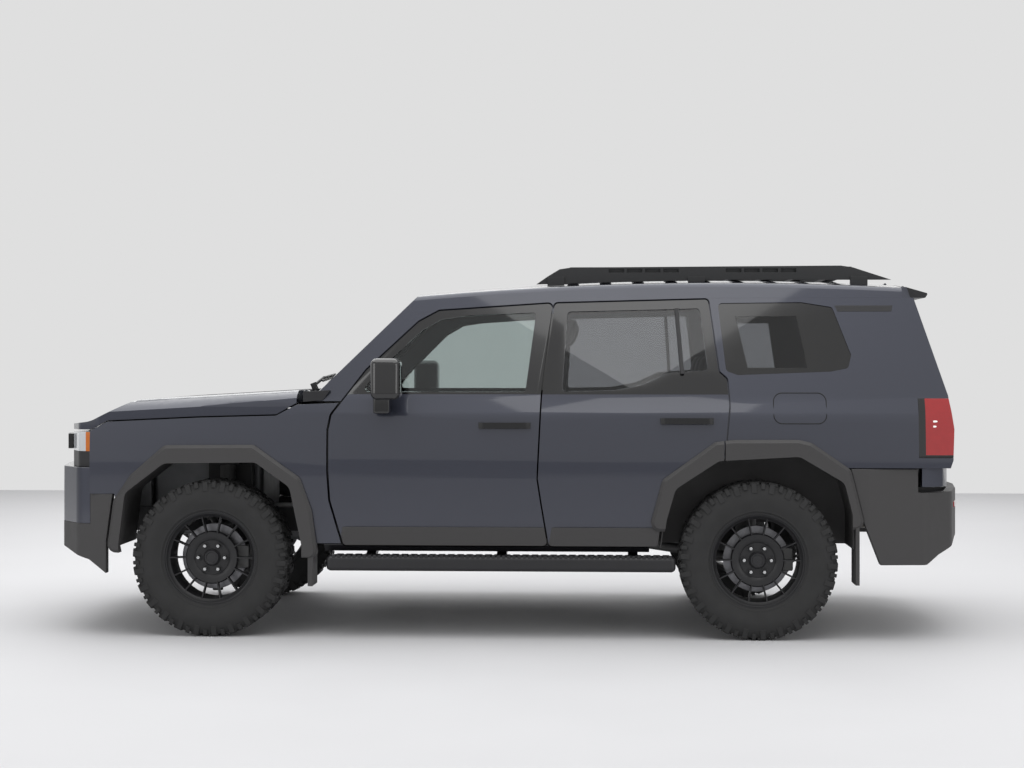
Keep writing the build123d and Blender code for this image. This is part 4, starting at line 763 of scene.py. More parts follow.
@dataclass
class Panels:
    """Pressed and moulded panels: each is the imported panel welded, with its edges rounded.

    Attributes:
        edge: Radius that catches the light along a panel's edge.
        moulded_edge: The same on thick mouldings.
        small_edge: The same on small mouldings.
        slat_edge: The same on slats and bars.
        belt: Height above which door frames are black.
        weld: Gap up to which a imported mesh's corners are joined.
        flat_angle: Angle in degrees up to which neighbouring faces become one.
    """

    edge: float = 3.5 * MM
    moulded_edge: float = 6 * MM
    small_edge: float = 2 * MM
    slat_edge: float = 1.5 * MM
    belt: float = 1.266
    weld: float = 0.02 * MM
    flat_angle: float = 0.6

    def copy(self, node: str) -> Piece:
        """Copy a node as one welded mesh with flat areas joined up.

        Args:
            node: Node to copy.

        Returns:
            The copy.
        """
        piece = FRAME.nodes[node].copy()
        piece.data = piece.data.copy()
        bpy.context.scene.collection.objects.link(piece)
        piece.parent = None
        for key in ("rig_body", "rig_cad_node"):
            if key in piece:
                del piece[key]
        piece.name = f"{node}_dressed"
        piece.data.name = piece.name
        pick(piece)
        if piece.data.has_custom_normals:
            bpy.ops.mesh.customdata_custom_splitnormals_clear()
        with editing(piece):
            bpy.ops.mesh.remove_doubles(threshold=self.weld)
            bpy.ops.mesh.dissolve_limited(angle_limit=math.radians(self.flat_angle))
        return piece

    def dress(self, node: str, slot: str, finish: Finishes, edge: float) -> Piece:
        """Stand a welded, softened copy in for a node.

        Args:
            node: Node that it stands in for.
            slot: Material slot of the node.
            finish: Finish of the copy.
            edge: Radius of its edges.

        Returns:
            The copy.
        """
        piece = self.copy(node)
        soften(piece, edge)
        mount(piece, node, slot, finish)
        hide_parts(node)
        return piece

    def two_tone(self, piece: Piece, finish: Finishes) -> None:
        """Finish everything above the belt in a second colour, along a clean cut.

        Args:
            piece: Piece with one finish.
            finish: Finish above the belt.
        """
        with editing(piece):
            bpy.ops.mesh.bisect(plane_co=(0, 0, self.belt), plane_no=(0, 0, 1))
        piece.data.materials.append(finish.value.material())
        for face in piece.data.polygons:
            if face.center.z > self.belt:
                face.material_index = 1

    def build(self) -> dict[str, Piece]:
        """Dress every panel.

        Returns:
            The panels that get trim later, by the names of their nodes.
        """
        dressed: dict[str, Piece] = {}
        for node in ("roof_panel", "a_pillars", "quarter_panels", "front_fenders", "hood", "front_bumper_bar",
                     "tailgate"):
            dressed[node] = self.dress(node, "body_paint", Finishes.PAINT, self.edge)
        for hand, _ in HANDS:
            for end in ("front", "rear"):
                door = self.dress(f"{end}_door_{hand}", "body_paint", Finishes.PAINT, self.edge)
                self.two_tone(door, Finishes.BLACK_GLOSS)
                dressed[f"{end}_door_{hand}"] = door
                self.dress(f"{end}_door_cladding_{hand}", "dark_plastic", Finishes.CLADDING, self.edge)
            mirror = f"door_mirror_{hand}"
            dressed[mirror] = self.dress(mirror, "black_trim", Finishes.BLACK_GLOSS, self.small_edge)
        for node, slot, finish, edge in (
            ("wheel_arch_flares", "dark_plastic", Finishes.CLADDING, self.moulded_edge),
            ("front_bumper", "dark_plastic", Finishes.CLADDING, self.moulded_edge),
            ("rear_bumper", "dark_plastic", Finishes.CLADDING, self.moulded_edge),
            ("cowl", "dark_plastic", Finishes.BLACK_SATIN, self.small_edge),
            ("side_steps", "dark_plastic", Finishes.BLACK_SATIN, self.small_edge),
            ("b_pillars", "black_trim", Finishes.BLACK_GLOSS, self.edge),
            ("sills", "body_paint", Finishes.BLACK_SATIN, self.edge),
            ("spoiler", "black_trim", Finishes.BLACK_SATIN, self.edge),
            ("grille", "black_trim", Finishes.BLACK_SATIN, self.slat_edge),
            ("roof_rack", "frame_black", Finishes.RACK, self.slat_edge),
        ):
            self.dress(node, slot, finish, edge)
        return dressed


@dataclass
class Wheels:
    """Tyres with block tread, spoked rims, nuts, caps and brake discs.

    Sections list the distance from the wheel's middle plane, positive outwards, and the radius.

    Attributes:
        radius: Radius to the tips of the tread blocks.
        belt: Radius of the belt that the blocks stand on.
        belt_half: Half width of the belt.
        sunk: How deep the blocks' feet reach into the belt.
        taper: Length of a block's top as a share of its foot.
        block_edge: Chamfer of the blocks.
        pitch_count: Number of block pitches round the tyre.
        tread: Reach across, length, slant and turn, in pitches, of each row of blocks.
        lugs: Foot radius, length and turn, in pitches, of each row of lugs on the sidewall.
        lug_reach: Reach of the lugs across the wheel.
        lug_tip: Reach and radius beyond which a lug's tip is cut back.
        lug_cut: How far the tip is cut back across the wheel and down.
        spokes: Number of spokes.
        spoke: Reach across and radii of a spoke.
        spoke_half: Half of a spoke's width.
        spoke_lean: How far a spoke's outer end leans out.
        spoke_taper: Width of a spoke's face as a share of its back.
        nuts: Number of wheel nuts.
        nut_reach: Reach of a nut across the wheel.
        nut_radius: Radius of a nut's corners.
        nut_crown: How far a nut's end is drawn in, and how far it stands out.
        nut_circle: Radius of the circle that the nuts stand on.
        nut_turn: Angle of the first nut from the top, in degrees.
        vanes: Number of vanes inside a brake disc.
        vane: Reach across and radii of a vane.
        vane_half: Half of a vane's thickness.
        centre: Middle of the front left wheel, which the others are copied from.
        wall: Section of the sidewall, from bead to shoulder.
        barrel: Section of the rim's barrel and lips.
        hub: Section of the rim's middle disc.
        cap_section: Section of the cap over the hub.
        nut_seat: Section of the ring round a nut, its radius counted from the nut's own axis.
        disc_rings: Sections of a brake disc's outer ring, inner ring and hat.
    """

    radius: float = 0.4072
    belt: float = 0.396
    belt_half: float = 0.112
    sunk: float = 4 * MM
    taper: float = 0.84
    block_edge: float = 1.6 * MM
    pitch_count: int = 26
    tread: tuple[tuple[Flat, float, float, float], ...] = (
        ((0.080, 0.117), 0.050, -5 * MM, 0.25),
        ((0.047, 0.074), 0.046, 6 * MM, 0.32),
        ((0.004, 0.041), 0.052, -6 * MM, 0.18),
    )
    lugs: tuple[Point, ...] = ((0.352, 0.030, 0.25), (0.372, 0.022, 0.75))
    lug_reach: Flat = (0.112, 0.1342)
    lug_tip: Flat = (0.12, 0.39)
    lug_cut: Flat = (8 * MM, 6 * MM)
    spokes: int = 14
    spoke: tuple[Flat, Flat] = ((0.040, 0.074), (0.128, 0.222))
    spoke_half: float = 5 * MM
    spoke_lean: float = 0.016
    spoke_taper: float = 0.7
    nuts: int = 6
    nut_reach: Flat = (0.058, 0.080)
    nut_radius: float = 11.5 * MM
    nut_crown: Flat = (3 * MM, 4 * MM)
    nut_circle: float = 0.0699
    nut_turn: float = 30.0
    vanes: int = 30
    vane: tuple[Flat, Flat] = ((-0.0265, -0.0155), (0.09, 0.168))
    vane_half: float = 3 * MM
    centre: Point = (AXLE_FRONT_X, WHEEL_Y, AXLE_Z)
    wall: Outline = (
        (0.092, 0.236), (0.112, 0.248), (0.1165, 0.255), (0.1195, 0.257), (0.1195, 0.262), (0.1205, 0.266),
        (0.130, 0.292), (0.1335, 0.318), (0.1335, 0.330), (0.1315, 0.350), (0.126, 0.370), (0.119, 0.386),
    )
    barrel: Outline = (
        (-0.111, 0.228), (-0.111, 0.247), (-0.104, 0.247), (-0.100, 0.2362), (0.100, 0.2362), (0.103, 0.2465),
        (0.1108, 0.247), (0.1108, 0.240), (0.106, 0.2375), (0.104, 0.232), (0.098, 0.229), (0.086, 0.216),
        (0.060, 0.213), (-0.080, 0.216),
    )
    hub: Outline = (
        (0.028, 0.001), (0.028, 0.060), (0.040, 0.128), (0.052, 0.139), (0.062, 0.139), (0.070, 0.133),
        (0.0685, 0.112), (0.064, 0.094), (0.0585, 0.090), (0.0585, 0.046), (0.064, 0.042), (0.064, 0.001),
    )
    cap_section: Outline = (
        (0.056, 0.001), (0.056, 0.040), (0.068, 0.040), (0.076, 0.036), (0.0765, 0.030), (0.073, 0.027),
        (0.0735, 0.001),
    )
    nut_seat: Outline = ((0.0575, 0.013), (0.0575, 0.0185), (0.0625, 0.0175), (0.0625, 0.014))
    disc_rings: tuple[Outline, ...] = (
        ((-0.016, 0.082), (-0.016, 0.171), (-0.0065, 0.172), (-0.006, 0.170), (-0.006, 0.082)),
        ((-0.036, 0.082), (-0.036, 0.170), (-0.0355, 0.172), (-0.026, 0.171), (-0.026, 0.082)),
        ((-0.036, 0.060), (-0.036, 0.084), (-0.006, 0.084), (0.026, 0.070), (0.028, 0.060)),
    )

    def tread_block(self, name: str, reach: Flat, length: float, foot: float, slant: float) -> Piece:
        """One rubber block at the top of the tyre.

        Args:
            name: Name of the piece.
            reach: Reach across the tread, from the wheel's middle plane.
            length: Length round the tyre at the block's foot.
            foot: Radius at which the block starts.
            slant: How far the outer end is set off along the tread.

        Returns:
            The block, tapered towards its top.
        """
        x, y, z = self.centre
        low = (x - length / 2, y + reach[0], z + foot)
        block = add_block(name, low, (x + length / 2, y + reach[1], z + self.radius))
        for vertex in block.data.vertices:
            if vertex.co.z > z + foot + 1 * MM:
                vertex.co.x = x + (vertex.co.x - x) * self.taper
            if vertex.co.y > y + (reach[0] + reach[1]) / 2:
                vertex.co.x += slant
        modify(block, "BEVEL", width=self.block_edge, segments=1, limit_method="ANGLE")
        return block

    def tyre(self) -> Piece:
        """Carcass with round sidewalls, tread blocks and side lugs.

        Returns:
            The tyre as one piece.
        """
        _, y, z = self.centre
        wall = [*self.wall, (self.belt_half, self.belt)]
        section = [(-a, r) for a, r in wall] + [(a, r) for a, r in reversed(wall)]
        parts = [add_turned("tyre", section, self.centre, 104)]
        step = 360 / self.pitch_count
        for reach, length, slant, turn in self.tread:
            for _, side in HANDS:
                block = self.tread_block(
                    "block", on_side(reach, side), length, self.belt - self.sunk, slant * side
                )
                parts += ring_of(block, self.pitch_count, self.centre, step * turn * side)
        for _, side in HANDS:
            for foot, length, turn in self.lugs:
                lug = self.tread_block("side_lug", on_side(self.lug_reach, side), length, foot, 0.0)
                for vertex in lug.data.vertices:
                    if vertex.co.z > z + self.lug_tip[1] and abs(vertex.co.y - y) > self.lug_tip[0]:
                        vertex.co.y -= side * self.lug_cut[0]
                        vertex.co.z -= self.lug_cut[1]
                parts += ring_of(lug, self.pitch_count, self.centre, step * turn * side)
        return merge("tyre_dressed", parts)

    def rim(self) -> Piece:
        """Barrel with its lips, hub disc and slim spokes that lean outwards.

        Returns:
            The rim as one piece.
        """
        x, y, z = self.centre
        parts = [
            add_turned("rim", self.barrel, self.centre, 112),
            add_turned("hub_disc", self.hub, self.centre, 96),
        ]
        (back, face), (root, tip) = self.spoke
        low = (x - self.spoke_half, y + back, z + root)
        spoke = add_block("spoke", low, (x + self.spoke_half, y + face, z + tip))
        for vertex in spoke.data.vertices:
            if vertex.co.y > y + (back + face) / 2:
                vertex.co.x = x + (vertex.co.x - x) * self.spoke_taper
            if vertex.co.z > z + (root + tip) / 2:
                vertex.co.y += self.spoke_lean
        soften(spoke, 1.5 * MM)
        parts += ring_of(spoke, self.spokes, self.centre, 180 / self.spokes)
        return merge("rim_dressed", parts)

    def nut_set(self) -> Piece:
        """Hexagon nuts with tapered ends.

        Returns:
            All nuts of a wheel as one piece.
        """
        x, y, z = self.centre
        foot, end = ((x, y + reach, z + self.nut_circle) for reach in self.nut_reach)
        nut = add_bar("nut", foot, end, self.nut_radius, 6)
        with editing(nut, lambda face: face.normal.y > 0.9):
            bpy.ops.mesh.inset(thickness=self.nut_crown[0])
            bpy.ops.transform.translate(value=(0, self.nut_crown[1], 0))
        soften(nut, 0.8 * MM)
        return merge("wheel_nuts", ring_of(nut, self.nuts, self.centre, self.nut_turn))

    def cap(self) -> Piece:
        """Plain cap over the hub's bore, with seats round the nuts.

        Returns:
            The cap and the seats as one piece.
        """
        x, y, z = self.centre
        cap = add_turned("centre_cap", self.cap_section, self.centre, 48)
        seat = add_turned("nut_seat", self.nut_seat, (x, y, z + self.nut_circle), 20)
        return merge("hub_cap", [cap, *ring_of(seat, self.nuts, self.centre, self.nut_turn)])

    def brake(self) -> Piece:
        """Vented disc with its hat, and vanes between the two friction rings.

        Returns:
            The disc as one piece.
        """
        x, y, z = self.centre
        rings = [add_turned("ring", section, self.centre, 72) for section in self.disc_rings]
        (back, face), (root, tip) = self.vane
        low = (x - self.vane_half, y + back, z + root)
        vane = add_block("vane", low, (x + self.vane_half, y + face, z + tip))
        return merge("brake_disc", [*rings, *ring_of(vane, self.vanes, self.centre)])

    def build(self) -> None:
        """Model one wheel and copy it to every corner."""
        models = {
            "tyre": (self.tyre(), "tyre", Finishes.TYRE),
            "rim": (self.rim(), "rim_black", Finishes.RIM),
            "wheel_nuts": (self.nut_set(), "rim_black", Finishes.NUT),
            "hub_cap": (self.cap(), "rim_black", Finishes.BLACK_SATIN),
            "brake_disc": (self.brake(), "cast_steel", Finishes.DISC),
        }
        for end, station in (("front", AXLE_FRONT_X), ("rear", AXLE_REAR_X)):
            move = Matrix.Translation((station - AXLE_FRONT_X, 0, 0))
            for kind, (model, slot, finish) in models.items():
                left = twin_of(model, move, f"{kind}_{end}_left_dressed")
                right = across(left)
                right.name = f"{kind}_{end}_right_dressed"
                for hand, piece in (("left", left), ("right", right)):
                    mount(piece, f"rim_{end}_{hand}", slot, finish)
                    if kind in ("tyre", "rim"):
                        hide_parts(f"{kind}_{end}_{hand}")
        for model, _, _ in models.values():
            bpy.data.objects.remove(model)


@dataclass
class Seats:
    """Padded front seats and rear bench.

    Profiles count X from a seat's middle and Z from the ground.

    Attributes:
        front: X of the front seats' middle.
        rear: X of the bench's middle.
        seat_y: Y of the front left seat's middle.
        voxel: Size of the cloth's cells.
        pressure: Pressure that swells the cloth.
        last_frame: Frame at which the cloth has settled.
        cap: Furthest that the cloth may swell.
        channel: Half width and depth of a sewn channel.
        shoulder: Height above which a backrest is narrower, and its share of the width there.
        pads: Profile, half width, corner radius and sewn channels of each pad.
        pad_edge: Rounding of a pad before it swells.
        fill: How full a pad is of its box.
        front_base: Half width of a front seat's base.
        others: Y, share of the width and half width of the base for each place on the bench.
        floors: Height of the floor under the front seats and under the bench.
        base: Half length of a base at its foot and at its top.
        base_top: Height of a base's top.
        base_lift: Height of a base's foot above the floor.
        base_corner: Radius of a base's corners.
        runner: How far a runner is set in from the base's side, its half width and its height.
        post: Y of a headrest's post from the seat's middle, and its radius.
        posts: X and Z of the lower and upper end of a headrest's posts.
    """

    front: float = 0.055
    rear: float = -0.795
    seat_y: float = 0.39
    voxel: float = 11 * MM
    pressure: float = 4.0
    last_frame: int = 18
    cap: float = 14 * MM
    channel: Flat = (14 * MM, 7 * MM)
    shoulder: Flat = (1.3, 0.84)
    pad_edge: float = 0.02
    fill: float = 0.8
    front_base: float = 0.19
    floors: Flat = (0.664, 0.788)
    base: Flat = (0.17, 0.19)
    base_top: float = 0.84
    base_lift: float = 0.03
    base_corner: float = 0.015
    runner: Point = (0.03, 0.02, 0.032)
    post: Flat = (0.06, 6 * MM)
    posts: tuple[Flat, Flat] = ((-0.345, 1.46), (-0.372, 1.56))
    pads: dict[str, tuple[Outline, float, float, tuple[float, ...]]] = field(
        default_factory=lambda: {
            "cushion": (
                ((-0.225, 0.835), (0.20, 0.84), (0.24, 0.87), (0.225, 0.94), (-0.225, 0.915)),
                0.236, 0.02, (-0.13, 0.13),
            ),
            "backrest": (
                ((-0.285, 0.935), (-0.175, 0.935), (-0.205, 1.15), (-0.278, 1.485), (-0.372, 1.485)),
                0.225, 0.02, (-0.12, 0.12),
            ),
            "headrest": (
                ((-0.392, 1.53), (-0.345, 1.53), (-0.350, 1.60), (-0.378, 1.668), (-0.435, 1.662)),
                0.118, 0.012, (),
            ),
        }
    )
    others: dict[str, Point] = field(
        default_factory=lambda: {
            "left": (0.395, 0.9, 0.17), "middle": (0.0, 0.74, 0.13), "right": (-0.395, 0.9, 0.17),
        }
    )

    def swell(self, pad: Piece, channels: list[float]) -> None:
        """Blow a pad up as sewn cloth, then draw its sewn channels in.

        Args:
            pad: Closed block a little smaller than the pad.
            channels: Y of each channel.
        """
        modify(pad, "REMESH", mode="VOXEL", voxel_size=self.voxel)
        flat = [vertex.co.copy() for vertex in pad.data.vertices]
        pick(pad)
        cloth = pad.modifiers.new("cloth", "CLOTH")
        cloth.settings.use_pressure = True
        cloth.settings.uniform_pressure_force = self.pressure
        cloth.settings.effector_weights.gravity = 0.0
        cloth.settings.quality = 4
        for frame in range(1, self.last_frame + 1):
            bpy.context.scene.frame_set(frame)
        bpy.ops.object.modifier_apply(modifier=cloth.name)
        bpy.context.scene.frame_set(1)
        for vertex, start in zip(pad.data.vertices, flat):
            shift = vertex.co - start
            if shift.length > self.cap:
                vertex.co = start + shift.normalized() * self.cap
        modify(pad, "SUBSURF", levels=1, render_levels=1)
        half, depth = self.channel
        for vertex in pad.data.vertices:
            near = min((abs(vertex.co.y - channel) for channel in channels), default=1.0)
            if near < half:
                vertex.co -= vertex.normal * depth * (math.cos(math.pi * near / half) + 1) / 2
        pick(pad)
        bpy.ops.object.shade_smooth()

    def models(self) -> dict[str, Piece]:
        """Cushion, backrest and headrest of the front left seat.

        Returns:
            Each pad by its kind.
        """
        x, y = self.front, self.seat_y
        made = {}
        for kind, (profile, half, corner, channels) in self.pads.items():
            outline = [(x + along, height) for along, height in profile]
            pad = add_plate(kind, outline, y - half, y + half, "Y", corner)
            if kind == "backrest":
                height, share = self.shoulder
                for vertex in pad.data.vertices:
                    if vertex.co.z > height:
                        vertex.co.y = y + (vertex.co.y - y) * share
            modify(pad, "BEVEL", width=self.pad_edge, segments=3, limit_method="ANGLE")
            self.swell(pad, [y + place for place in channels])
            made[kind] = pad
        return made

    def frame(self, name: str, x: float, y: float, foot: float, half: float) -> Piece:
        """Seat base on two runners, with the headrest's two posts.

        Args:
            name: Name of the seat.
            x: X of the seat's middle.
            y: Y of the seat's middle.
            foot: Height of the floor under it.
            half: Half width of the base.

        Returns:
            The base, runners and posts as one piece.
        """
        long, top = self.base
        bottom = foot + self.base_lift
        profile = [(x - long, bottom), (x + long, bottom), (x + top, self.base_top), (x - top, self.base_top)]
        parts = [add_plate(f"{name}_base", profile, y - half, y + half, "Y", self.base_corner)]
        inset, width, height = self.runner
        offset, radius = self.post
        for side in (-1, 1):
            edge, post = y + side * (half - inset), y + side * offset
            low, high = (x - long, edge - width, foot + 1 * MM), (x + long, edge + width, foot + height)
            parts.append(add_block("runner", low, high))
            lower, upper = ((x + along, post, level) for along, level in self.posts)
            parts.append(add_bar("post", lower, upper, radius, 10))
        whole = merge(f"{name}_frame", parts)
        soften(whole, 4 * MM)
        return whole

    def build(self) -> None:
        """Model the front left seat and fit the others from it."""
        pads = self.models()
        rows = [
            (f"front_{hand}", "front_seats", self.front, side * self.seat_y, 1.0, self.floors[0],
             self.front_base)
            for hand, side in HANDS
        ]
        for hand, (y, share, half) in self.others.items():
            rows.append((f"rear_{hand}", "rear_seats", self.rear, y, share, self.floors[1], half))
        home = Matrix.Translation((0, -self.seat_y, 0))
        for name, node, x, y, share, foot, half in rows:
            place = Matrix.Translation((x - self.front, y, 0)) @ Matrix.Diagonal((1, share, 1, 1)) @ home
            for kind, pad in pads.items():
                piece = twin_of(pad, place, f"{kind}_{name}")
                mount(piece, node, "seat_cover", Finishes.LEATHER)
                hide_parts(node)
            carrier = mount(self.frame(name, x, y, foot, half), node, "cabin_plastic", Finishes.CABIN)
            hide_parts(node)
        for pad in pads.values():
            bpy.data.objects.remove(pad)


@dataclass
class Glazing:
    """Printed borders of the glass, the rear doors' divider bars, the rack's rails and the wipers.

    Attributes:
        quarter: X and Z of the quarter pane's clear part.
        screen: Y and Z of the windscreen's clear part.
        rear_pane: Y and Z of the tailgate pane's clear part.
        divider: X and Z of a divider bar.
        divider_y: Y of a divider bar's foot, and how far its head leans in.
        divider_depth: Depth of a divider bar.
        rail: Y and Z of a rack rail.
        rail_reach: X of a rack rail's ends.
        rail_slot: Wall and depth of a rack rail's slot.
        front_wipers: Y of the pivot and of the blade's tip of each wiper on the windscreen.
    """

    quarter: Outline = ((-1.2105, 1.674), (-1.527, 1.674), (-1.574, 1.403), (-1.2676, 1.403))
    screen: Outline = ((-0.735, 1.345), (0.735, 1.345), (0.60, 1.715), (-0.60, 1.715))
    rear_pane: Outline = ((-0.62, 1.375), (0.62, 1.375), (0.53, 1.735), (-0.53, 1.735))
    divider: Outline = ((-0.938, 1.372), (-0.918, 1.372), (-0.892, 1.718), (-0.912, 1.718))
    divider_y: Flat = (0.868, 0.118)
    divider_depth: float = 0.030
    rail: Outline = ((0.572, 1.912), (0.598, 1.912), (0.598, 1.944), (0.572, 1.944))
    rail_reach: Flat = (-1.84, -0.34)
    rail_slot: Flat = (7 * MM, 9 * MM)
    front_wipers: dict[str, Flat] = field(
        default_factory=lambda: {"wiper_left": (0.62, 0.0), "wiper_right": (-0.06, -0.66)}
    )

    def framed(
        self, panels: Panels, node: str, corners: list[Vector], across_axis: int, slot: str, clear: Finishes
    ) -> None:
        """Finish a pane as glass inside four corners and as black print outside them.

        Args:
            panels: Maker of the pane's copy.
            node: Pane that is finished.
            corners: Corners of the clear part, in order round it.
            across_axis: Axis that looks through the pane.
            slot: Material slot of the pane.
            clear: Finish of the clear part.
        """
        pane = panels.copy(node)
        look = Vector([1.0 if i == across_axis else 0.0 for i in range(3)])
        middle = sum(corners, Vector()) / len(corners)
        sides = []
        for start, end in zip(corners, corners[1:] + corners[:1]):
            normal = (end - start).cross(look).normalized()
            if (middle - start).dot(normal) < 0:
                normal.negate()
            sides.append((start, normal))
            with editing(pane):
                bpy.ops.mesh.bisect(plane_co=start, plane_no=normal)
        paint(pane, clear)
        pane.data.materials.append(Finishes.FRIT.value.material())
        for face in pane.data.polygons:
            inside = all((face.center - start).dot(normal) > 0 for start, normal in sides)
            face.material_index = 0 if inside else 1
        mount(pane, node, slot)
        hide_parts(node)

    def build(self, panels: Panels) -> None:
        """Finish the panes and hang the bars, rails and wipers.

        Args:
            panels: Maker of the nodes' copies.
        """
        corners = [Vector((x, 0, z)) for x, z in self.quarter]
        self.framed(panels, "quarter_glass", corners, 1, "glass_dark", Finishes.GLASS_DARK)
        self.rack_rails()
        corners = [Vector((0, y, z)) for y, z in self.screen]
        self.framed(panels, "windscreen", corners, 0, "glass_clear", Finishes.GLASS_CLEAR)
        corners = [Vector((0, y, z)) for y, z in self.rear_pane]
        self.framed(panels, "tailgate_glass", corners, 0, "glass_dark", Finishes.GLASS_DARK)
        self.dividers()
        self.wipers()

    def dividers(self) -> None:
        """Upright bars in the rear doors' windows, leaning in with the glass."""
        foot, head = self.divider[0][1], self.divider[-1][1]
        for hand, side in HANDS:
            bar = add_plate(f"window_divider_{hand}", self.divider, 0.0, self.divider_depth)
            for vertex in bar.data.vertices:
                share = (vertex.co.z - foot) / (head - foot)
                vertex.co.y = side * (vertex.co.y + self.divider_y[0] - self.divider_y[1] * share)
            with editing(bar):
                bpy.ops.mesh.normals_make_consistent(inside=False)
            soften(bar, 3 * MM)
            mount(bar, f"rear_door_{hand}", "black_trim", Finishes.BLACK_SATIN)

    def rack_rails(self) -> None:
        """Rails with a slot for clamps behind the rack's side plates."""
        rail = add_plate("rack_rail", self.rail, *self.rail_reach, "X")
        with editing(rail, lambda face: face.normal.z > 0.9):
            bpy.ops.mesh.inset(thickness=self.rail_slot[0])
            bpy.ops.transform.translate(value=(0, 0, -self.rail_slot[1]))
        soften(rail, 1.5 * MM)
        mount_pair(rail, "rack_rail", "roof_rack", "frame_black", Finishes.RACK)

    def wipers(self) -> None:
        """Two wipers along the foot of the windscreen and one on the tailgate."""
        sets = []
        for name, (pivot_y, tip_y) in self.front_wipers.items():
            elbow = (1.0, pivot_y - 0.1, 1.352)
            bars = (
                ("boss", (1.03, pivot_y, 1.285), (1.045, pivot_y, 1.322), 17 * MM, 20),
                ("arm", (1.035, pivot_y, 1.312), elbow, 8 * MM, 10),
                ("reach", elbow, (0.975, tip_y + 0.28, 1.368), 6 * MM, 10),
                ("spine", (1.004, tip_y + 0.58, 1.336), (0.958, tip_y, 1.376), 6 * MM, 8),
                ("rubber", (1.0, tip_y + 0.57, 1.330), (0.954, tip_y + 0.01, 1.370), 3.5 * MM, 8),
            )
            sets.append((name, "windscreen", bars))
        bars = (
            ("boss", (-2.262, 0.0, 1.31), (-2.300, 0.0, 1.318), 20 * MM, 20),
            ("arm", (-2.294, 0.0, 1.316), (-2.278, 0.30, 1.376), 7 * MM, 10),
            ("blade", (-2.278, 0.12, 1.366), (-2.262, 0.50, 1.398), 6 * MM, 8),
        )
        sets.append(("wiper_rear", "tailgate", bars))
        for name, node, bars in sets:
            wiper = merge(name, [add_bar(*bar) for bar in bars])
            soften(wiper, 1.2 * MM, 2, 40)
            mount(wiper, node, "black_trim", Finishes.BLACK_SATIN)


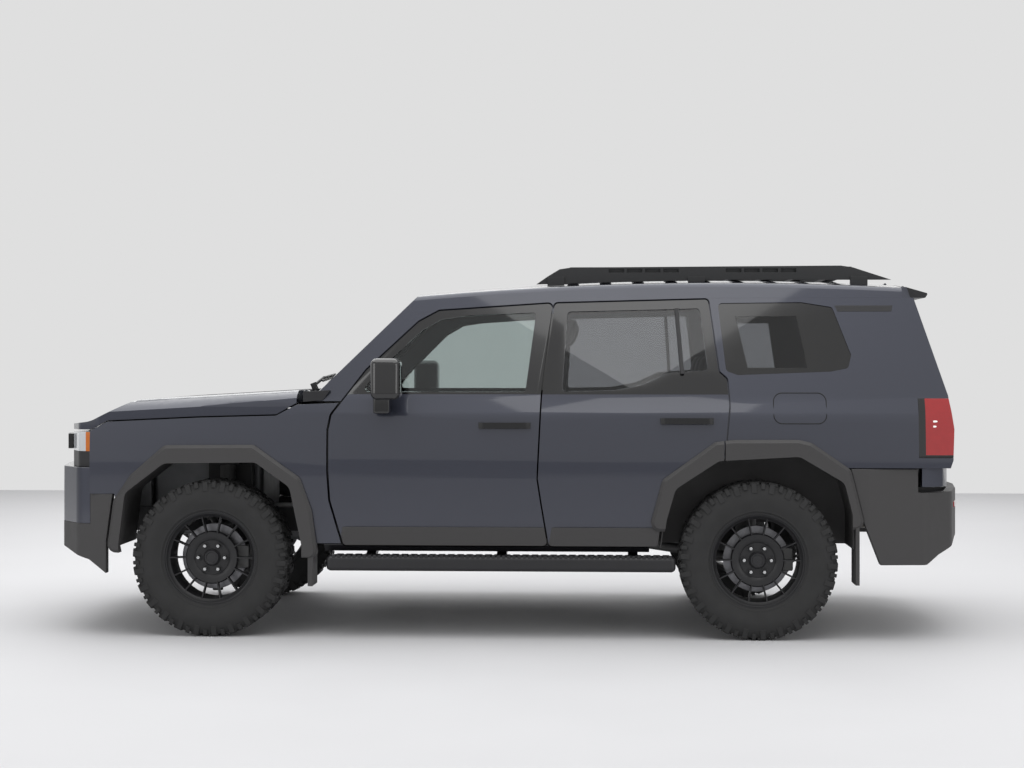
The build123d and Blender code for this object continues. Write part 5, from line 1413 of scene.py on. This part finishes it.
@dataclass
class Trim:
    """Grips, fuel door, pillar strips, covers between panels, step treads and mirror glass.

    Attributes:
        grips: X range and height of the door grips.
        grip_y: Distance from the middle beyond which a door's faces belong to its grip.
        grip_room: Room round a grip's X range and its height to either side.
        fuel: Opposite corners of the fuel door's outline.
        fuel_corner: Radius of the fuel door's corners.
        fuel_gap: Radius of the dark line round the fuel door.
        strip: X and Z of the strip on a rear pillar.
        strip_lift: How far the strip stands off its pillar.
        cover: X and Z of a cover between hood and windscreen pillar.
        cover_y: Y of its inner and outer face.
        apron: X and Z of an apron that closes the engine bay below the hood's edge.
        apron_y: Y of its inner and outer face.
        seal: X and Z of the seal between quarter panel and rear bumper.
        seal_y: Y of its inner and outer face.
        tail_corner: X and Y of the painted corner between tail lamp and rear bumper.
        tail_corner_z: Z of its foot and top.
        handle: X and Z of the tailgate's grip bar.
        handle_half: Half of the grip bar's length.
        plate_lamp: X and Z ranges of a plate lamp.
        plate_lamp_y: Y of a plate lamp's middle, and its half width.
        mirror_rim: Width and depth of the frame round a mirror's glass.
        mirror_area: Area from which a face of the housing is the mirror.
        pad_box: X and Z ranges of the rearmost pad on a running board.
        tooth_box: X and Z ranges of the rearmost tooth.
        step_half: Half width of the pads and of the teeth.
        step_y: Y of the running boards' pads and teeth.
        pads: Number of pads and their spacing.
        teeth: Number of teeth and their spacing.
    """

    grips: dict[str, Point] = field(
        default_factory=lambda: {"front": (-0.142, 0.127, 1.105), "rear": (-1.085, -0.812, 1.129)}
    )
    grip_y: float = 0.9672
    grip_room: Flat = (0.006, 0.04)
    fuel: tuple[Flat, Flat] = ((-1.664, 1.116), (-1.394, 1.274))
    fuel_corner: float = 0.045
    fuel_gap: float = 2.4 * MM
    strip_lift: float = 1.2 * MM
    cover_y: Flat = (0.862, 0.928)
    apron_y: Flat = (0.713, 0.72)
    seal_y: Flat = (0.85, 0.93)
    tail_corner_z: Flat = (0.792, 0.889)
    handle_half: float = 0.34
    plate_lamp: tuple[Flat, Flat] = ((-2.312, -2.292), (1.062, 1.072))
    plate_lamp_y: Flat = (0.15, 0.03)
    mirror_rim: Flat = (10 * MM, 4 * MM)
    mirror_area: float = 0.008
    pad_box: tuple[Flat, Flat] = ((-0.86, -0.825), (0.429, 0.433))
    tooth_box: tuple[Flat, Flat] = ((-0.87, -0.853), (0.418, 0.434))
    step_half: Flat = (0.026, 0.010)
    strip: Outline = ((-2.02, 1.698), (-1.742, 1.698), (-1.728, 1.730), (-2.03, 1.730))
    cover: Outline = ((1.048, 1.226), (1.048, 1.280), (0.905, 1.287), (0.945, 1.234))
    apron: Outline = (
        (1.10, 1.0), (2.15, 1.0), (2.15, 1.087), (2.078, 1.128), (1.599, 1.148), (1.186, 1.159),
        (1.10, 1.201),
    )
    seal: Outline = ((-2.138, 0.872), (-2.138, 0.900), (-1.79, 0.900), (-1.79, 0.872))
    tail_corner: Outline = (
        (-2.15, 0.765), (-2.15, 0.942), (-2.205, 0.930), (-2.262, 0.900), (-2.292, 0.850), (-2.3, 0.765),
    )
    handle: Outline = ((-2.318, 1.075), (-2.318, 1.112), (-2.30, 1.122), (-2.285, 1.10), (-2.285, 1.07))
    step_y: Flat = (0.925, 0.9725)
    pads: tuple[int, float] = (36, 0.0485)
    teeth: tuple[int, float] = (66, 0.0268)

    def black_grip(self, door: Piece, end: str) -> None:
        """Finish the faces of a door's grip in black.

        Args:
            door: Dressed door.
            end: Front or rear, as in the table of grips.
        """
        low, high, middle = self.grips[end]
        room, half = self.grip_room
        index = len(door.data.materials)
        door.data.materials.append(Finishes.BLACK_GLOSS.value.material())
        for face in door.data.polygons:
            x, y, z = face.center
            if abs(y) > self.grip_y and low - room < x < high + room and abs(z - middle) < half:
                face.material_index = index

    def accents(self, panel: Piece) -> None:
        """Black strips on the rear pillars and the gap round the fuel door.

        Args:
            panel: Dressed quarter panels.
        """
        left = skin_patch("rear_pillar_strip_left", self.strip, panel, self.strip_lift)
        mount_pair(left, "rear_pillar_strip", "quarter_panels", "black_trim", Finishes.BLACK_SATIN)
        gap = add_seam("fuel_door_gap", rounded_loop(*self.fuel, self.fuel_corner), panel, self.fuel_gap)
        mount(gap, "quarter_panels", "black_trim", Finishes.SEAM)

    def covers(self) -> None:
        """Covers at the cowl's ends, aprons under the hood, and seals and corners at the rear bumper."""
        dark, black, body = "dark_plastic", "frame_black", "body_paint"
        satin = Finishes.BLACK_SATIN
        wax, coat = Finishes.FRAME, Finishes.PAINT
        for name, outline, span, axis, node, slot, finish, rounding, edge in (
            ("cowl_corner", self.cover, self.cover_y, "Y", "cowl", dark, satin, 4 * MM, 4 * MM),
            ("engine_bay_apron", self.apron, self.apron_y, "Y", "bulkhead", black, wax, 0, 2 * MM),
            ("bumper_seal", self.seal, self.seal_y, "Y", "rear_bumper", dark, satin, 0, 2 * MM),
            ("tail_corner", self.tail_corner, self.tail_corner_z, "Z", "quarter_panels", body, coat, 0,
             2 * MM),
        ):
            left = add_plate(f"{name}_left", outline, *span, axis, rounding)
            soften(left, edge)
            mount_pair(left, name, node, slot, finish)

    def tailgate_handle(self) -> None:
        """Grip bar over the plate recess, with two lamps under it."""
        bar = add_plate("tailgate_grip", self.handle, -self.handle_half, self.handle_half, "Y", 4 * MM)
        soften(bar, 3 * MM)
        mount(bar, "tailgate", "black_trim", Finishes.BLACK_GLOSS)
        (back, front), (low, high) = self.plate_lamp
        middle, half = self.plate_lamp_y
        lamps = [
            add_block("plate_lamp", (back, y - half, low), (front, y + half, high)) for y in (-middle, middle)
        ]
        pair = merge("plate_lamps", lamps)
        soften(pair, 2 * MM)
        mount(pair, "tailgate", "lamp_clear", Finishes.LENS)

    def steps(self) -> None:
        """Rows of grip pads along the running boards, with a toothed outer edge."""
        for hand, side in HANDS:
            parts = []
            for kind, box, middle, half, edge, row in (
                ("pad", self.pad_box, self.step_y[0], self.step_half[0], 1.5 * MM, self.pads),
                ("tooth", self.tooth_box, self.step_y[1], self.step_half[1], 2 * MM, self.teeth),
            ):
                (back, front), (low, high) = box
                y = side * middle
                part = add_block(kind, (back, y - half, low), (front, y + half, high))
                soften(part, edge)
                row_of(part, *row)
                parts.append(part)
            tread = merge(f"step_tread_{hand}", parts)
            mount(tread, "side_steps", "dark_plastic", Finishes.BLACK_SATIN)

    def mirror_glass(self, mirror: Piece) -> None:
        """Inset the mirror's rear face and silver it.

        Args:
            mirror: Dressed mirror housing.
        """
        index = len(mirror.data.materials)
        mirror.data.materials.append(Finishes.SILVER.value.material())
        with editing(mirror, lambda face: face.normal.x < -0.95 and face.area > self.mirror_area):
            bpy.ops.mesh.inset(thickness=self.mirror_rim[0], depth=-self.mirror_rim[1])
            bpy.ops.object.mode_set(mode="OBJECT")
            for face in mirror.data.polygons:
                if face.select:
                    face.material_index = index

    def build(self, dressed: dict[str, Piece]) -> None:
        """Add the trim to the dressed panels.

        Args:
            dressed: The panels, by the names of their nodes.
        """
        for hand, _ in HANDS:
            for end in self.grips:
                self.black_grip(dressed[f"{end}_door_{hand}"], end)
            self.mirror_glass(dressed[f"door_mirror_{hand}"])
        self.accents(dressed["quarter_panels"])
        self.covers()
        self.tailgate_handle()
        self.steps()


@dataclass
class Lamps:
    """Headlamps with side markers, tail lamps with light bars, reflectors and the high stop lamp.

    Attributes:
        marker_x: Where a headlamp's amber side marker starts.
        marker_z: Height below which a headlamp is its dark lower unit.
        housing_x: Where a tail lamp's black housing starts.
        housing_z: Height below which a tail lamp is its housing.
        bar_route: X and Y of a tail lamp's pale bars, round its corner.
        bar_heights: Heights of the pale bars.
        bar_radius: Radius of the pale bars.
        unit_y: Y of the two units in a headlamp.
        unit_box: X and Z ranges of the inner unit.
        unit_half: Half width of a unit.
        unit_rim: Width and depth of a unit's frame.
        sweep: How far the front and rear faces run back for each metre across.
        reflector_y: Y of a rear reflector's middle.
        reflector_half: Half of a rear reflector's length.
        reflector_box: X and Z ranges of a rear reflector at its middle.
        stop: X and Z of the high stop lamp.
        stop_half: Half of the high stop lamp's length.
    """

    marker_x: float = 2.205
    marker_z: float = 0.965
    housing_x: float = -2.166
    housing_z: float = 0.957
    bar_route: Outline = ((-2.205, 0.958), (-2.262, 0.931), (-2.300, 0.885), (-2.312, 0.800))
    bar_heights: Flat = (1.103, 1.129)
    bar_radius: float = 5 * MM
    unit_y: Flat = (0.60, 0.70)
    unit_box: tuple[Flat, Flat] = ((2.345, 2.372), (0.972, 1.052))
    unit_half: float = 0.040
    unit_rim: Flat = (7 * MM, 12 * MM)
    sweep: float = 0.25
    reflector_y: float = 0.62
    reflector_half: float = 0.07
    reflector_box: tuple[Flat, Flat] = ((-2.381, -2.362), (0.672, 0.700))
    stop_half: float = 0.16
    stop: Outline = ((-2.214, 1.786), (-2.196, 1.786), (-2.196, 1.772), (-2.212, 1.772))

    def zones(
        self, panels: Panels, node: str, slot: str, finishes: list[Finishes], cut: Flat,
        choose: Callable[[Vector], int],
    ) -> None:
        """Split a lamp's body into finishes along clean cuts.

        Args:
            panels: Maker of the lamp's copy.
            node: Lamp that is finished.
            slot: Material slot of the lamp.
            finishes: The finishes, by number.
            cut: X of the upright cut and Z of the level one.
            choose: Gives the number of a finish for a place.
        """
        lamp = panels.copy(node)
        x, z = cut
        for place, normal in (((0, 0, z), (0, 0, 1)), ((x, 0, 0), (1, 0, 0))):
            with editing(lamp):
                bpy.ops.mesh.bisect(plane_co=place, plane_no=normal)
        soften(lamp, 2 * MM, 2, 40)
        lamp.data.materials.clear()
        for finish in finishes:
            lamp.data.materials.append(finish.value.material())
        for face in lamp.data.polygons:
            face.material_index = choose(face.center)
        mount(lamp, node, slot)
        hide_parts(node)

    def head(self, panels: Panels) -> None:
        """Headlamps: clear upper unit, amber corner and a dark lower unit.

        Args:
            panels: Maker of the nodes' copies.
        """
        def choose(place: Vector) -> int:
            """Number of the finish at a place."""
            if place.z < self.marker_z:
                return 2
            return 1 if place.x < self.marker_x else 0

        finishes = [Finishes.LENS, Finishes.LENS_AMBER, Finishes.BLACK_SATIN]
        self.zones(panels, "headlamps", "lamp_clear", finishes, (self.marker_x, self.marker_z), choose)

    def tail(self, panels: Panels) -> None:
        """Tail lamps: red lens in a black housing.

        Args:
            panels: Maker of the nodes' copies.
        """
        def choose(place: Vector) -> int:
            """Number of the finish at a place."""
            return 1 if place.x > self.housing_x or place.z < self.housing_z else 0

        finishes = [Finishes.LENS_RED, Finishes.BLACK_GLOSS]
        self.zones(panels, "tail_lamps", "lamp_red", finishes, (self.housing_x, self.housing_z), choose)

    def light_bars(self) -> None:
        """Two pale bars across each tail lamp, round its corner."""
        for hand, side in HANDS:
            parts = []
            for height in self.bar_heights:
                route = [(x, side * y, height) for x, y in self.bar_route]
                for start, end in zip(route, route[1:]):
                    parts.append(add_bar("bar", start, end, self.bar_radius, 12))
            bars = merge(f"tail_light_bars_{hand}", parts)
            soften(bars, 0.8 * MM, 1, 40)
            mount(bars, "tail_lamps", "lamp_clear", Finishes.LED)

    def front_units(self) -> None:
        """Two framed light units on the face of each headlamp."""
        (rear, front), (bottom, top) = self.unit_box
        for hand, side in HANDS:
            parts = []
            for y in self.unit_y:
                back = (y - self.unit_y[0]) * self.sweep
                low = (rear - back, side * y - self.unit_half, bottom)
                unit = add_block("unit", low, (front - back, side * y + self.unit_half, top))
                with editing(unit, lambda face: face.normal.x > 0.9):
                    bpy.ops.mesh.inset(thickness=self.unit_rim[0])
                    bpy.ops.transform.translate(value=(-self.unit_rim[1], 0, 0))
                soften(unit, 1.5 * MM)
                parts.append(unit)
            units = merge(f"headlamp_units_{hand}", parts)
            mount(units, "headlamps", "black_trim", Finishes.BLACK_GLOSS)

    def stop_lamp(self) -> None:
        """High stop lamp under the spoiler."""
        lamp = add_plate("high_stop_lamp", self.stop, -self.stop_half, self.stop_half, "Y", 3 * MM)
        soften(lamp, 2 * MM)
        mount(lamp, "spoiler", "lamp_red", Finishes.LENS_RED)

    def reflectors(self) -> None:
        """Red reflectors that follow the rear bumper's face."""
        (back, front), (bottom, top) = self.reflector_box
        for hand, side in HANDS:
            middle = side * self.reflector_y
            low = (back, middle - self.reflector_half, bottom)
            high = (front, middle + self.reflector_half, top)
            reflector = add_block(f"bumper_reflector_{hand}", low, high)
            with editing(reflector, lambda face: face.normal.x < -0.9):
                bpy.ops.mesh.inset(thickness=4 * MM)
            for vertex in reflector.data.vertices:
                vertex.co.x += (abs(vertex.co.y) - self.reflector_y) * self.sweep
            soften(reflector, 3 * MM)
            mount(reflector, "rear_bumper", "lamp_red", Finishes.LENS_RED)

    def build(self, panels: Panels) -> None:
        """Finish every lamp.

        Args:
            panels: Maker of the nodes' copies.
        """
        self.head(panels)
        self.tail(panels)
        self.light_bars()
        self.front_units()
        self.stop_lamp()
        self.reflectors()


@dataclass
class PlainNodes:
    """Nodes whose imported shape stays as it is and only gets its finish."""

    finishes: dict[str, Finishes] = field(
        default_factory=lambda: {
            "glass_clear": Finishes.GLASS_CLEAR,
            "glass_dark": Finishes.GLASS_DARK,
            "lamp_clear": Finishes.LENS,
            "lamp_red": Finishes.LENS_RED,
            "tyre": Finishes.TYRE,
            "rim_black": Finishes.RIM,
            "frame_black": Finishes.FRAME,
            "cast_steel": Finishes.CAST,
            "engine_alloy": Finishes.ALLOY,
            "pipe_steel": Finishes.PIPE,
            "seat_cover": Finishes.LEATHER,
            "cabin_plastic": Finishes.CABIN,
            "dark_plastic": Finishes.CLADDING,
            "black_trim": Finishes.BLACK_GLOSS,
            "body_paint": Finishes.PAINT,
        }
    )

    def build(self, slots: dict[str, str]) -> None:
        """Give each shown node the finish of its slot."""
        for node, piece in FRAME.nodes.items():
            paint(piece, self.finishes[slots[node]])


@dataclass
class Studio:
    """Camera at the photo's view, soft lights, a pale floor and a pale background.

    Attributes:
        camera_at: Place of the camera.
        turn: Angle of the view away from square on, in degrees.
        lens: Focal length for a 36 mm wide film.
        lift: Shift that puts the horizon at its height in the picture.
        wall_y: Where the floor ends and the background shows.
        floor_size: Length of the floor's sides.
        wall: Colour of the background.
        fill: Share of the background's light that falls on matt surfaces.
    """

    camera_at: Point = (-0.496, 10.159, 1.408)
    turn: float = 2.8
    lens: float = 62.58
    lift: float = -0.0166
    wall_y: float = -9.9
    floor_size: float = 70.0
    wall: str = "#dfdfdf"
    fill: float = 0.6

    def build(self) -> None:
        """Make the camera, the floor and the lights."""
        scene = bpy.context.scene
        scene.view_settings.view_transform = "Standard"
        camera = bpy.data.objects.new("camera", bpy.data.cameras.new("camera"))
        scene.collection.objects.link(camera)
        camera.location = self.camera_at
        lean = math.radians(self.turn)
        ahead = Vector((math.sin(lean), -math.cos(lean), 0))
        camera.rotation_euler = ahead.to_track_quat("-Z", "Y").to_euler()
        camera.data.lens = self.lens
        camera.data.sensor_width = 36.0
        camera.data.shift_y = self.lift
        camera.data.clip_end = 200
        scene.camera = camera
        self.floor()
        self.lights()

    def floor(self) -> None:
        """Make the pale floor, which ends at the foot of the bright background."""
        deselect()
        bpy.ops.mesh.primitive_plane_add(size=1.0, location=(0, 0, 0))
        floor = bpy.context.object
        floor.scale = (self.floor_size, self.floor_size, 1)
        settle(floor, "floor")
        floor.data.transform(Matrix.Translation((0, self.floor_size / 2 + self.wall_y, 0)))
        made = Finish("pale_studio_plaster", "#d6d6d8", "#dcdcde", 900, 0.7, grain_mm=30, grain_depth=0.05)
        floor.data.materials.append(made.material())
        floor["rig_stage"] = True

    def lights(self) -> None:
        """Hang the large soft lights and set the pale background."""
        # Name, place, aim, width, height and power of each light.
        rows = (
            ("top", (0.2, 0.5, 6.5), (0, 0.3, 0), 12.0, 9.0, 560.0),
            ("front_side", (7.0, 7.0, 3.0), (1.9, 0.9, 0.9), 5.0, 4.0, 110.0),
            ("rear_side", (-7.5, 7.0, 3.0), (-1.9, 0.9, 1.0), 5.0, 4.0, 110.0),
            ("far_side", (0.0, -7.5, 5.0), (0, -4.0, 0.0), 12.0, 4.0, 200.0),
        )
        for name, place, aim, width, height, power in rows:
            lamp = bpy.data.lights.new(name, "AREA")
            lamp.shape = "RECTANGLE"
            lamp.size, lamp.size_y, lamp.energy = width, height, power
            light = bpy.data.objects.new(name, lamp)
            light.location = place
            light.rotation_euler = (Vector(aim) - Vector(place)).to_track_quat("-Z", "Y").to_euler()
            bpy.context.scene.collection.objects.link(light)
        self.background()

    def background(self) -> None:
        """Show an even pale wall all round, which lights the vehicle less than it shows."""
        world = bpy.context.scene.world or bpy.data.worlds.new("studio_wall")
        bpy.context.scene.world = world
        world.use_nodes = True
        tree = world.node_tree
        tree.nodes.clear()
        ray = add_node(tree, "ShaderNodeLightPath").outputs
        seen = ray["Is Camera Ray"]
        for other in ("Is Transmission Ray", "Is Glossy Ray"):
            seen = add_node(tree, "ShaderNodeMath", {0: seen, 1: ray[other]}, operation="MAXIMUM").outputs[0]
        colour = linear(self.wall)
        shown = add_node(tree, "ShaderNodeBackground", {"Color": colour, "Strength": 1.0}).outputs[0]
        light = add_node(tree, "ShaderNodeBackground", {"Color": colour, "Strength": self.fill}).outputs[0]
        mix = add_node(tree, "ShaderNodeMixShader", {0: seen, 1: light, 2: shown})
        add_node(tree, "ShaderNodeOutputWorld", {"Surface": mix.outputs[0]})


def main() -> None:
    """Build the vehicle's looks piece by piece."""
    FRAME.load()
    record_slots = {o.name: o.data.materials[0].name for o in FRAME.nodes.values()}
    Studio().build()
    PlainNodes().build(record_slots)
    panels = Panels()
    dressed = panels.build()
    Glazing().build(panels)
    Lamps().build(panels)
    Trim().build(dressed)
    Wheels().build()
    Seats().build()
    FRAME.save_sizes()


if __name__ == "__main__":
    main()
